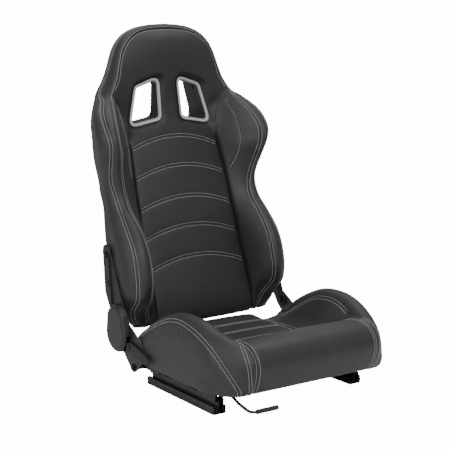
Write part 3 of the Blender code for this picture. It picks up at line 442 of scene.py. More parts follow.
def loft_faces(nr, nc, closed_cols=True, closed_rows=False, caps=True):
    faces = []
    for r in range(nr if closed_rows else nr - 1):
        r2 = (r + 1) % nr
        for c in range(nc if closed_cols else nc - 1):
            c2 = (c + 1) % nc
            faces.append((r * nc + c, r * nc + c2, r2 * nc + c2, r2 * nc + c))
    if caps and closed_cols and not closed_rows:
        faces.append(tuple(range(nc)))
        faces.append(tuple((nr - 1) * nc + c for c in range(nc)))
    return faces


def tri_caps(obj):
    bm = bmesh.new()
    bm.from_mesh(obj.data)
    bm.normal_update()
    bmesh.ops.triangulate(bm, faces=[f for f in bm.faces if len(f.verts) > 4])
    bmesh.ops.recalc_face_normals(bm, faces=bm.faces)
    bm.to_mesh(obj.data)
    bm.free()


def evaluated(obj):
    """A new mesh with the object's modifiers applied."""
    bpy.context.view_layer.update()
    graph = bpy.context.evaluated_depsgraph_get()
    return bpy.data.meshes.new_from_object(obj.evaluated_get(graph))


def mirror(grid):
    return grid * np.array([-1.0, 1.0, 1.0])


def closed_piece(name, front, back_cols, mats, body):
    """A pad from its front grid and the columns that close each section behind it."""
    whole = np.concatenate([front, back_cols], axis=1)
    nr, nc = whole.shape[:2]
    obj = to_object(name, whole.reshape(-1, 3), loft_faces(nr, nc), mats, body)
    tri_caps(obj)
    return obj


# ---- stitching ---------------------------------------------------------------------------
STITCHES = {"backrest": [], "seat": []}


def offset_line(grid, normals, col, offset, axis=1):
    """The line on a grid at a distance from one of its columns, with its normals."""
    g = grid if axis == 1 else np.swapaxes(grid, 0, 1)
    n = normals if axis == 1 else np.swapaxes(normals, 0, 1)
    s = distance_across(g, col)
    offset = np.broadcast_to(offset, (len(g),))
    pts = np.empty((len(g), 3))
    nrm = np.empty((len(g), 3))
    for r in range(len(g)):
        for k in range(3):
            pts[r, k] = np.interp(offset[r], s[r], g[r, :, k])
            nrm[r, k] = np.interp(offset[r], s[r], n[r, :, k])
    nrm /= np.maximum(np.linalg.norm(nrm, axis=1, keepdims=True), 1e-9)
    return pts, nrm


def stitch(pts, nrm, body, lift=0.00012):
    """A row of sewn stitches along a line: each a short thread that dives in at its ends."""
    pts = smoothed(np.asarray(pts), 0.8)
    length = np.concatenate([[0], np.cumsum(np.linalg.norm(np.diff(pts, axis=0), axis=1))])
    if length[-1] < 3 * STITCH_PITCH:
        return
    count = int(length[-1] / STITCH_PITCH)
    ring = STITCH_SIDES
    for i in range(count):
        start = (i + 0.5) * STITCH_PITCH - STITCH_LEN / 2
        wobble = rng.normal(0, 0.00010, 2)
        t = start + np.array([-0.0001, 0.16, 0.5, 0.84, 1.0001]) * STITCH_LEN
        heights = np.array([-0.00055, 0.00022, 0.00042, 0.00022, -0.00055]) + lift
        radii = np.array([0.42, 0.95, 1.08, 0.95, 0.42]) * STITCH_R
        p = np.stack([np.interp(t, length, pts[:, k]) for k in range(3)], axis=1)
        n = np.stack([np.interp(t, length, nrm[:, k]) for k in range(3)], axis=1)
        n /= np.linalg.norm(n, axis=1, keepdims=True)
        tangent = p[-1] - p[0]
        tangent /= max(np.linalg.norm(tangent), 1e-9)
        side = np.cross(n, tangent)
        side /= np.maximum(np.linalg.norm(side, axis=1, keepdims=True), 1e-9)
        slant = np.linspace(-1, 1, 5)[:, None] * wobble[0]
        p = p + n * heights[:, None] + side * (slant + wobble[1])
        rings = []
        for k in range(5):
            for a in range(ring):
                w = 2 * math.pi * a / ring
                rings.append(p[k] + (side[k] * math.cos(w) + n[k] * math.sin(w)) * radii[k])
        STITCHES[body].append(np.array(rings))


def build_stitches(body, mat):
    ring = STITCH_SIDES
    verts, faces = [], []
    for rings in STITCHES[body]:
        base = len(verts)
        verts.extend(rings.tolist())
        for k in range(4):
            for a in range(ring):
                b = (a + 1) % ring
                faces.append((base + k * ring + a, base + k * ring + b,
                              base + (k + 1) * ring + b, base + (k + 1) * ring + a))
        faces.append(tuple(base + a for a in range(ring)))
        faces.append(tuple(base + 4 * ring + a for a in range(ring)))
    return to_object(f"{body}_stitching", verts, faces, [mat], body)


# ---- materials ---------------------------------------------------------------------------
def nodes_of(name):
    mat = bpy.data.materials.new(name)
    mat.use_nodes = True
    tree = mat.node_tree
    shader = tree.nodes["Principled BSDF"]
    coords = tree.nodes.new("ShaderNodeTexCoord")
    return mat, tree, shader, coords.outputs["Object"]


def noise(tree, vector, scale, detail=3.0, rough=0.55):
    node = tree.nodes.new("ShaderNodeTexNoise")
    node.inputs["Scale"].default_value = scale
    node.inputs["Detail"].default_value = detail
    node.inputs["Roughness"].default_value = rough
    tree.links.new(vector, node.inputs["Vector"])
    return node.outputs["Fac"]


def ramp(tree, fac, stops):
    node = tree.nodes.new("ShaderNodeValToRGB")
    tree.links.new(fac, node.inputs["Fac"])
    points = node.color_ramp.elements
    while len(points) < len(stops):
        points.new(0.5)
    for point, (place, colour) in zip(points, stops):
        point.position = place
        point.color = (*colour, 1.0) if len(colour) == 3 else colour
    return node.outputs["Color"]


def grey(v):
    return (v, v, v)


def tones(tree, fac, tone, dark, bright, low=0.3, high=0.75):
    """A slow change between a darker and a brighter version of one tone."""
    return ramp(tree, fac, ((low, tuple(c * dark for c in tone)),
                            (high, tuple(min(c * bright, 1) for c in tone))))


def set_gloss(tree, shader, fac, rough, change):
    """Roughness that varies by a total of change around rough."""
    gloss = maths(tree, "ADD", maths(tree, "MULTIPLY", fac, change), rough - change / 2)
    tree.links.new(gloss, shader.inputs["Roughness"])


def bump(tree, shader, height, strength, distance, previous=None):
    node = tree.nodes.new("ShaderNodeBump")
    node.inputs["Strength"].default_value = strength
    node.inputs["Distance"].default_value = distance
    tree.links.new(height, node.inputs["Height"])
    if previous is not None:
        tree.links.new(previous, node.inputs["Normal"])
    tree.links.new(node.outputs["Normal"], shader.inputs["Normal"])
    return node.outputs["Normal"]


def maths(tree, op, a, b):
    node = tree.nodes.new("ShaderNodeMath")
    node.operation = op
    for socket, value in zip(node.inputs, (a, b)):
        if isinstance(value, (int, float)):
            socket.default_value = value
        else:
            tree.links.new(value, socket)
    return node.outputs[0]


def hide_material(name, tone, rough, grain=1.0):
    """Coated leather: pebbled grain with fine pores, and a slow change of tone and gloss."""
    mat, tree, shader, vec = nodes_of(name)
    cells = tree.nodes.new("ShaderNodeTexVoronoi")
    cells.feature = "DISTANCE_TO_EDGE"
    cells.inputs["Scale"].default_value = 780.0
    warp = tree.nodes.new("ShaderNodeVectorMath")
    warp.operation = "ADD"
    wobble = tree.nodes.new("ShaderNodeTexNoise")
    wobble.inputs["Scale"].default_value = 260.0
    wobble.inputs["Detail"].default_value = 2.0
    tree.links.new(vec, wobble.inputs["Vector"])
    shrink = tree.nodes.new("ShaderNodeVectorMath")
    shrink.operation = "SCALE"
    shrink.inputs["Scale"].default_value = 0.0016
    tree.links.new(wobble.outputs["Color"], shrink.inputs[0])
    tree.links.new(vec, warp.inputs[0])
    tree.links.new(shrink.outputs[0], warp.inputs[1])
    tree.links.new(warp.outputs[0], cells.inputs["Vector"])
    pebble = maths(tree, "MINIMUM", cells.outputs["Distance"], 0.35)
    fine = noise(tree, vec, 2400.0, 2.0)
    slow = noise(tree, vec, 9.0, 3.0)
    mid = noise(tree, vec, 60.0, 4.0)
    colour = tones(tree, slow, tone, 0.86, 1.16, 0.30, 0.72)
    pores = ramp(tree, pebble, ((0.0, grey(0.72)), (0.16, grey(1.0))))
    mix = tree.nodes.new("ShaderNodeMix")
    mix.data_type = "RGBA"
    mix.blend_type = "MULTIPLY"
    mix.inputs["Factor"].default_value = 1.0
    tree.links.new(colour, mix.inputs["A"])
    tree.links.new(pores, mix.inputs["B"])
    tree.links.new(mix.outputs["Result"], shader.inputs["Base Color"])
    set_gloss(tree, shader, mid, rough, 0.12)
    first = bump(tree, shader, pebble, 0.55 * grain, 0.0006)
    second = bump(tree, shader, fine, 0.10 * grain, 0.0003, first)
    bump(tree, shader, mid, 0.10, 0.0012, second)
    shader.inputs["Specular IOR Level"].default_value = 0.5
    shader.inputs["Sheen Weight"].default_value = 0.04
    shader.inputs["Sheen Roughness"].default_value = 0.5
    return mat


def plastic_material(name, tone, rough, grain_scale=1500.0, strength=0.25):
    """Moulded plastic: fine spark-eroded grain, with slight variation in gloss."""
    mat, tree, shader, vec = nodes_of(name)
    grain = noise(tree, vec, grain_scale, 3.0, 0.6)
    slow = noise(tree, vec, 14.0, 3.0)
    colour = tones(tree, slow, tone, 0.88, 1.14)
    tree.links.new(colour, shader.inputs["Base Color"])
    set_gloss(tree, shader, grain, rough, 0.14)
    bump(tree, shader, grain, strength, 0.0003)
    return mat


def coated_metal(name, tone, rough, metallic=0.0, wear=0.35):
    """Powder coat: orange-peel skin, with brighter wear where edges stand out."""
    mat, tree, shader, vec = nodes_of(name)
    peel = noise(tree, vec, 520.0, 2.0)
    slow = noise(tree, vec, 22.0, 4.0)
    geometry = tree.nodes.new("ShaderNodeNewGeometry")
    edges = ramp(tree, geometry.outputs["Pointiness"], ((0.535, grey(0.0)), (0.60, grey(1.0))))
    patches = ramp(tree, noise(tree, vec, 140.0, 4.0), ((0.45, grey(0.0)), (0.70, grey(1.0))))
    worn = maths(tree, "MULTIPLY", edges, patches)
    worn = maths(tree, "MULTIPLY", worn, wear)
    base = tones(tree, slow, tone, 0.85, 1.2)
    mix = tree.nodes.new("ShaderNodeMix")
    mix.data_type = "RGBA"
    tree.links.new(worn, mix.inputs["Factor"])
    tree.links.new(base, mix.inputs["A"])
    mix.inputs["B"].default_value = (0.20, 0.20, 0.205, 1.0)
    tree.links.new(mix.outputs["Result"], shader.inputs["Base Color"])
    set_gloss(tree, shader, slow, rough, 0.16)
    shader.inputs["Metallic"].default_value = metallic
    bump(tree, shader, peel, 0.22, 0.0004)
    return mat


def bare_metal(name, tone, rough, streak=900.0):
    """Plated or phosphated steel: fine rolled streaks and clouded gloss."""
    mat, tree, shader, vec = nodes_of(name)
    mapping = tree.nodes.new("ShaderNodeMapping")
    mapping.inputs["Scale"].default_value = (1.0, 0.06, 1.0)
    tree.links.new(vec, mapping.inputs["Vector"])
    lines = noise(tree, mapping.outputs["Vector"], streak, 3.0)
    cloud = noise(tree, vec, 45.0, 4.0)
    colour = tones(tree, cloud, tone, 0.82, 1.12)
    tree.links.new(colour, shader.inputs["Base Color"])
    set_gloss(tree, shader, lines, rough, 0.18)
    shader.inputs["Metallic"].default_value = 1.0
    bump(tree, shader, lines, 0.12, 0.0002)
    return mat


def thread_material(name, tone):
    """Twisted sewing thread."""
    mat, tree, shader, vec = nodes_of(name)
    wave = noise(tree, vec, 3200.0, 2.0)
    slow = noise(tree, vec, 30.0, 2.0)
    mixed = maths(tree, "ADD", maths(tree, "MULTIPLY", wave, 0.6), maths(tree, "MULTIPLY", slow, 0.4))
    colour = ramp(tree, mixed, ((0.30, tuple(c * 0.70 for c in tone)), (0.70, tone)))
    tree.links.new(colour, shader.inputs["Base Color"])
    shader.inputs["Roughness"].default_value = 0.75
    shader.inputs["Sheen Weight"].default_value = 0.15
    bump(tree, shader, wave, 0.5, 0.0002)
    return mat


BLACK_HIDE = hide_material("black_coated_hide", (0.0185, 0.0187, 0.0195), 0.46)
CENTRE_HIDE = hide_material("centre_coated_hide", (0.0155, 0.0157, 0.0165), 0.52, 1.1)
# partly painted highlight: the front roll's hide is a lighter copy of the black hide, standing in for the
# light the roll catches; its lower roughness gives its real satin sheen
ROLL_HIDE_PAINTED_HIGHLIGHT = hide_material("roll_hide_painted_highlight", (0.024, 0.0243, 0.0252), 0.42, 0.8)
# the shell's dark plastic also serves as painted shade on the harness openings' inner walls
SHELL_AND_SLOT_SHADE = plastic_material("shell_moulding", (0.016, 0.0165, 0.0175), 0.52, 900.0, 0.5)
BEZEL = plastic_material("bezel_moulding", (0.46, 0.465, 0.47), 0.36, 1800.0, 0.12)
COVER = plastic_material("cover_moulding", (0.015, 0.0155, 0.0165), 0.44, 1400.0, 0.3)
GRIP = plastic_material("grip_rubber_moulding", (0.020, 0.020, 0.021), 0.66, 700.0, 0.5)
BLACK_STEEL = coated_metal("powder_coated_steel", (0.014, 0.0145, 0.0155), 0.42)
ARM_STEEL = coated_metal("phosphated_steel", (0.030, 0.0305, 0.032), 0.46, 0.5, 0.5)
ZINC = bare_metal("zinc_plated_steel", (0.60, 0.61, 0.62), 0.34)
BLACK_ZINC = bare_metal("black_passivated_steel", (0.045, 0.046, 0.048), 0.38)
SPRING = bare_metal("oiled_spring_steel", (0.30, 0.31, 0.32), 0.38)
THREAD = thread_material("grey_thread", (0.66, 0.67, 0.67))

SLOT_LOOKS = {
    "black_hide": BLACK_HIDE, "centre_hide": CENTRE_HIDE, "shell_plastic": SHELL_AND_SLOT_SHADE,
    "bezel_plastic": BEZEL, "cover_plastic": COVER, "grip_rubber": GRIP,
    "black_steel": BLACK_STEEL, "arm_steel": ARM_STEEL, "zinc_steel": ZINC, "spring_steel": SPRING,
}


# ---- backrest: band, wing faces, centre pad ----------------------------------------------
def ridge(inner, crest, outer):
    """Points of the ridge between two seams, through its crest."""
    p = [np.array(v, float) for v in (inner, crest, outer)]
    out = []
    for t in (0.0, 0.25, 0.5, 0.75, 1.0):
        out.append(p[0] * (2 * (t - 0.5) * (t - 1)) + p[1] * (-4 * t * (t - 1)) + p[2] * (2 * t * (t - 0.5)))
    return out


def band_stations():
    rows = []
    for z, inner, crest, outer, wide, rear in BOLSTER:
        plane = float(back_plane(z))
        at = lambda p: (p[0], p[1], z)
        rear_y = min(rear[1], plane - 0.010)
        gusset = [
            at(outer),
            (outer[0] + (wide[0] - outer[0]) * 0.68, outer[1] + (wide[1] - outer[1]) * 0.40, z),
            at(wide),
            ((wide[0] + rear[0]) / 2 + 0.001, (wide[1] + rear_y) / 2, z),
            (rear[0], rear_y, z),
            (rear[0] - 0.014, min(rear_y + 0.014, plane - 0.001), z),
        ]
        rows.append([ridge(at(inner), at(crest), at(outer)), gusset])
    for (ix, iz, iy), (ox, oz, oy) in RIM:
        dx, dy, dz = ox - ix, oy - iy, oz - iz
        depth = RIM_REAR - oy
        seam = (ox - 0.03 * dx, oy + 0.45 * depth, oz - 0.03 * dz)
        front = [
            (ix, iy, iz),
            (ix + 0.36 * dx, iy + 0.06 * dy, iz + 0.36 * dz),
            (ix + 0.74 * dx, iy + 0.36 * dy, iz + 0.74 * dz),
            (ox, oy - 0.002, oz),
            seam,
        ]
        side = [
            seam,
            (ox - 0.06 * dx, oy + 0.66 * depth, oz - 0.06 * dz),
            (ox - 0.14 * dx, oy + 0.88 * depth, oz - 0.14 * dz),
            (ix + 0.55 * dx, RIM_REAR - 0.001, iz + 0.55 * dz),
        ]
        rows.append([front, side])
    right = [[mirror(np.array(span)) for span in spans] for spans in reversed(rows[:-1])]
    return [[np.array(span, float) for span in spans] for spans in rows] + right


def soft_min(a, b, k):
    h = np.maximum(k - np.abs(a - b), 0.0) / np.maximum(k, 1e-6)
    return np.minimum(a, b) - h * h * k * 0.25


INNER_TABLE = np.array([(row[0], row[1][0], row[1][1]) for row in BOLSTER] + [(0.7335, 0.1840, 0.5450)])


def inner_seam(z):
    got = hermite(INNER_TABLE[:, 0], INNER_TABLE[:, 1:], np.atleast_1d(z))
    return got[..., 0], got[..., 1]


def crease_y(z):
    """Depth of the line where the pad meets the wing: it rises to the rim at the shoulders."""
    seam_x, seam_y = inner_seam(np.asarray(z, float).ravel())
    near = (seam_y + 1.3 * (seam_x - half_width(np.asarray(z, float).ravel()))).reshape(np.shape(z))
    plain = spine(z) + 0.011
    blend = step(0.600, 0.650, z)
    return plain * (1 - blend) + soft_min(plain, near, 0.012) * blend


def roll_under(z):
    """The foam's bottom edge turns back under the seat back."""
    return 0.004 * (1.0 - step(0.127, 0.136, z))


def valley(z):
    return 0.0015 + 0.040 * step(0.585, 0.64, z) * (1 - step(0.70, 0.737, z))


def edge_slope(z, inner_x, inner_y):
    slope = (inner_y - crease_y(z)) / np.maximum(inner_x - half_width(z), 0.012)
    return np.minimum(slope, -0.35)


def close_behind(front, toward, depth):
    """Columns that close an open sheet behind: in from each border, then across."""
    a = front[:, -1] + toward[None] * depth
    b = front[:, 0] + toward[None] * depth
    middle = [a + (b - a) * t for t in (0.0, 0.33, 0.67, 1.0)]
    return np.stack(middle, axis=1)


def build_band():
    surf = Surface(band_stations(), 2.2)
    widths = surf.widths()
    cols = all_columns(widths, {0, 1}, 0.005)
    seam = int(np.argmin(np.abs(cols - 1.0)))
    rows = np.linspace(0, surf.length, int(surf.length / 0.0034))
    g = surf.at(rows, cols)
    soft_rows = np.linspace(0, surf.length, int(surf.length / 0.0085))
    soft_cols = np.concatenate([np.linspace(0, 1, 8), np.linspace(1, 2, 12)[1:]])
    base = surf.at(soft_rows, soft_cols)
    pinned = pins(base, 7, -2)
    n = normals_of(g)
    sign = facing(n, len(n) // 4, 6, (0, -1, 0))
    n *= sign
    g = g + spread(puff(base, pinned, sign, 0.0032, 3.0), soft_rows, soft_cols, rows, cols)
    n = normals_of(g) * sign
    dip = seam_dip(distance_across(g, 0)) + seam_dip(distance_across(g, seam))
    g = g - n * dip[..., None]
    n = normals_of(g) * sign
    for offset, col in ((SEAM_OFFSET, 0), (-SEAM_OFFSET, seam), (SEAM_OFFSET, seam)):
        pts, nrm = offset_line(g, n, col, offset)
        stitch(pts[3:-3], nrm[3:-3], "backrest")
    inward = g[:, 0] * np.array([0.97, 1.0, 1.0])
    inner_back = inward.copy()
    inner_back[:, 1] = g[:, -1, 1] - 0.002
    shrink = np.clip(1 - 0.030 / np.maximum(np.linalg.norm(inner_back[:, [0]], axis=1), 1e-3), 0.5, 1)
    inner_back[:, 0] *= shrink
    inner_back[:, 2] = np.where(g[:, 0, 2] > 0.74, g[:, 0, 2] - 0.006, g[:, 0, 2])
    mid = (inward + inner_back) / 2
    back = np.stack([g[:, -1] * 0.35 + inner_back * 0.65, inner_back, mid], axis=1)
    obj = closed_piece("back_bolster_band", g, back, [BLACK_HIDE], "backrest")
    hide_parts("back_bolster_left", "back_bolster_right", "headrest_rim")
    return surf


def wing_surface():
    """The face between the centre pad and the inner seam, on the occupant's left."""
    table = np.array(WING_SEAM)
    stations = []
    for z in np.concatenate([np.linspace(0.127, 0.30, 14), np.linspace(0.31, 0.7335, 44)]):
        half = float(half_width(z)) + 0.0006
        ix, iy = (float(v[0]) for v in inner_seam(z))
        ix = max(ix, half + 0.0015)
        cy = float(crease_y(z)) + float(roll_under(z))
        t_seam = float(np.interp(z, table[:, 0], table[:, 1]))
        bulge = 0.16 * min(1.0, (ix - half) / 0.05)
        pts = []
        for t in np.linspace(0, 1, 13):
            x = half + (ix - half) * t
            y = cy + (iy - cy) * (t + bulge * math.sin(math.pi * t) * (1.0 if z < 0.6 else 0.75))
            k = float(valley(z))
            flat = cy + 0.15 * (x - half)
            y = float(soft_min(np.array(y), np.array(flat), np.array(k))) if t < 0.9 else y
            pts.append((x, y, z))
        pts = np.array(pts)
        first = arc_sample(pts, np.linspace(0, t_seam, 8))
        second = arc_sample(pts, np.linspace(t_seam, 1, 8))
        stations.append([first, second])
    return Surface(stations, 1.6)


def build_wings():
    surf = wing_surface()
    widths = surf.widths()
    cols = all_columns(widths, {0, 1, 2}, 0.005)
    wing = int(np.argmin(np.abs(cols - 1.0)))
    rows = np.linspace(0, surf.length, int(surf.length / 0.0034))
    g0 = surf.at(rows, cols)
    soft_rows = np.linspace(0, surf.length, int(surf.length / 0.008))
    soft_cols = np.concatenate([np.linspace(0, 1, 6), np.linspace(1, 2, 7)[1:]])
    base = surf.at(soft_rows, soft_cols)
    z_soft = base[:, 5, 2]
    pinned = pins(base)
    pinned[(z_soft > WING_LOW) & (z_soft < WING_HIGH), 5] = True
    n = normals_of(g0)
    sign = facing(n, len(n) // 3, len(cols) // 2, (-0.6, -0.8, 0))
    move = spread(puff(base, pinned, sign, 0.0035, 3.5), soft_rows, soft_cols, rows, cols)
    g = g0 + move
    n = normals_of(g) * sign
    z = g[:, :, 2]
    dip = seam_dip(distance_across(g, len(cols) - 1))
    on_wing = step(WING_LOW - 0.004, WING_LOW + 0.006, z)
    on_wing = on_wing * (1 - step(WING_HIGH - 0.006, WING_HIGH + 0.004, z))
    dip = dip + seam_dip(distance_across(g, wing), False) * on_wing
    g = g - n * dip[..., None]
    d0 = distance_across(g, 0)
    deep = 0.0095 * (1 - step(0.575, 0.625, z)) + 0.0008
    g[..., 1] += deep * np.exp(-((d0 / 0.0045) ** 2))
    n = normals_of(g) * sign
    for side, flip in (("left", 1.0), ("right", -1.0)):
        grid = g if flip > 0 else mirror(g)
        nrm_grid = n if flip > 0 else mirror(n)
        pts, nrm = offset_line(grid, nrm_grid, len(cols) - 1, -SEAM_OFFSET)
        keep = pts[:, 2] < 0.728
        stitch(pts[keep][3:], nrm[keep][3:], "backrest")
        pts, nrm = offset_line(grid, nrm_grid, wing, WING_SEAM_GAP)
        keep = (pts[:, 2] > WING_LOW) & (pts[:, 2] < WING_HIGH)
        stitch(pts[keep], nrm[keep], "backrest")
        back = close_behind(grid, np.array([flip * 0.25, 1.0, 0.0]), 0.012)
        obj = closed_piece(f"back_wing_face_{side}", grid, back, [BLACK_HIDE], "backrest")


ARCH_U = (0.0, 0.2556, 0.498, 0.709, 0.856, 0.9425, 1.0)
ARCH_H = (1.0, 0.986, 0.930, 0.781, 0.558, 0.284, 0.0)
PAD_TOP = 0.9035
PAD_CORNER = 0.796


def pad_points(v, u):
    """The centre pad's front at row heights v (at the middle) and fractions u across."""
    v = np.asarray(v, float)[:, None]
    u = np.asarray(u, float)[None, :]
    low_edge = v - ARC_DROP * step(0.19, 0.29, v)
    t = step(0.640, PAD_TOP, v) * 0.35 + np.clip((v - 0.640) / (PAD_TOP - 0.640), 0, 1) * 0.65
    edge = low_edge + (PAD_CORNER - low_edge) * t * t * (3 - 2 * t)
    arch = hermite(ARCH_U, ARCH_H, np.abs(u).ravel()).reshape(u.shape)
    shape = (1 - t) * (1 - u * u) + t * arch
    z = edge + (v - edge) * shape
    x = half_width(edge) * u
    w = np.clip(np.abs(x) / np.maximum(half_width(z), 1e-3), 0, 1)
    top = step(0.690, 0.737, z)
    rim_y = np.interp(z, [r[0][1] for r in RIM], [r[0][2] for r in RIM])
    low_y = spine(z) + (crease_y(z) - spine(z)) * w * w
    high_y = spine(z) + (rim_y - spine(z)) * w ** 2.4
    y = low_y * (1 - top) + high_y * top
    half = half_width(z)
    ix, iy = inner_seam(z.ravel())
    slope = edge_slope(z, ix.reshape(z.shape), iy.reshape(z.shape))
    wall = crease_y(z) + slope * 1.25 * (np.abs(x) - half)
    y = np.where(z < 0.737, soft_min(y, wall, valley(z)), y)
    y = y + roll_under(z)
    y = y + 0.010 * (1 - step(0.575, 0.625, z)) * np.exp(-(((half - np.abs(x)) / 0.0045) ** 2))
    return np.stack(np.broadcast_arrays(x, y, z), axis=2)


def flange_seat(x, z):
    """The leaning plane that a harness bezel's flange rests on."""
    return 0.5510 + 0.16 * (z - 0.650) + 0.07 * (np.abs(x) - 0.040)


def outline_corners(corners, grow):
    points = [Vector((x, z)) for x, z in corners]
    centre = sum(points, Vector((0.0, 0.0))) / len(points)
    moved = []
    for i, point in enumerate(points):
        before = (point - points[i - 1]).normalized()
        after = (points[(i + 1) % len(points)] - point).normalized()
        n0 = Vector((-before.y, before.x))
        n1 = Vector((-after.y, after.x))
        if n0.dot(point - centre) < 0.0:
            n0 = -n0
        if n1.dot(point - centre) < 0.0:
            n1 = -n1
        moved.append(point + (n0 + n1) / (1.0 + n0.dot(n1)) * grow)
    return moved


def rounded(corners, radius, corner=10, straight=4):
    """An outline with corners rounded to one radius: a list of (x, z)."""
    count = len(corners)
    bends = []
    for i, point in enumerate(corners):
        before = (corners[i - 1] - point).normalized()
        after = (corners[(i + 1) % count] - point).normalized()
        reach = radius / math.tan(0.5 * before.angle(after))
        bends.append((point + before * reach, point, point + after * reach))
    out = []
    for i, (a, point, b) in enumerate(bends):
        for k in range(corner + 1):
            t = k / corner
            out.append(a * (1 - t) ** 2 + point * 2 * t * (1 - t) + b * t * t)
        following = bends[(i + 1) % count][0]
        for k in range(1, straight):
            out.append(b + (following - b) * (k / straight))
    return np.array([(p.x, p.y) for p in out])


def slot_outline(grow):
    """The harness opening, offset outward."""
    return rounded(outline_corners(SLOT, grow), 0.0110 + grow)


def tray_outline(grow):
    """The recess behind both harness openings, offset outward."""
    return rounded(outline_corners(TRAY, grow), 0.0080, 6, 3)


def tray_rings(steps):
    return [[(x, y, z) for x, z in tray_outline(grow)] for grow, y in steps]


def shifted(rings):
    return [[(x, y + SHIFT_Y, z) for x, y, z in ring] for ring in rings]


def outside_outline(x, z, grow):
    """Signed distance outside the slot's outline."""
    poly = slot_outline(grow)
    p = np.stack([np.abs(x).ravel(), z.ravel()], axis=1)
    a, b = poly, np.roll(poly, -1, axis=0)
    best = np.full(len(p), 1e9)
    inside = np.zeros(len(p), bool)
    for (ax, az), (bx, bz) in zip(a, b):
        e = np.array([bx - ax, bz - az])
        w = p - np.array([ax, az])
        t = np.clip((w @ e) / max(e @ e, 1e-12), 0, 1)
        best = np.minimum(best, np.linalg.norm(w - t[:, None] * e, axis=1))
        crosses = ((az > p[:, 1]) != (bz > p[:, 1])) & (
            p[:, 0] < (bx - ax) * (p[:, 1] - az) / ((bz - az) if bz != az else 1e-12) + ax)
        inside ^= crosses
    return np.where(inside, -best, best).reshape(x.shape)


def cut(obj, loops, mat):
    """Cuts lofted tunnels out of a piece."""
    for rings in loops:
        nr, nc = len(rings), len(rings[0])
        mesh = bpy.data.meshes.new("tool")
        mesh.from_pydata([tuple(p) for ring in rings for p in ring], [], loft_faces(nr, nc))
        tool = bpy.data.objects.new("tool", mesh)
        bpy.context.scene.collection.objects.link(tool)
        tri_caps(tool)
        mod = obj.modifiers.new("cut", "BOOLEAN")
        mod.operation = "DIFFERENCE"
        mod.solver = "EXACT"
        mod.object = tool
        done = evaluated(obj)
        obj.modifiers.remove(mod)
        bpy.data.objects.remove(tool)
        done.materials.clear()
        done.materials.append(mat)
        done.polygons.foreach_set("material_index", [0] * len(done.polygons))
        obj.data = done
        done.shade_smooth()


def tunnel(sign, grow, y0, y1):
    ring = slot_outline(grow)
    if sign < 0:
        ring = ring[::-1]
    return [[(sign * x, y + SHIFT_Y, z) for x, z in ring] for y in (y0, y1)]


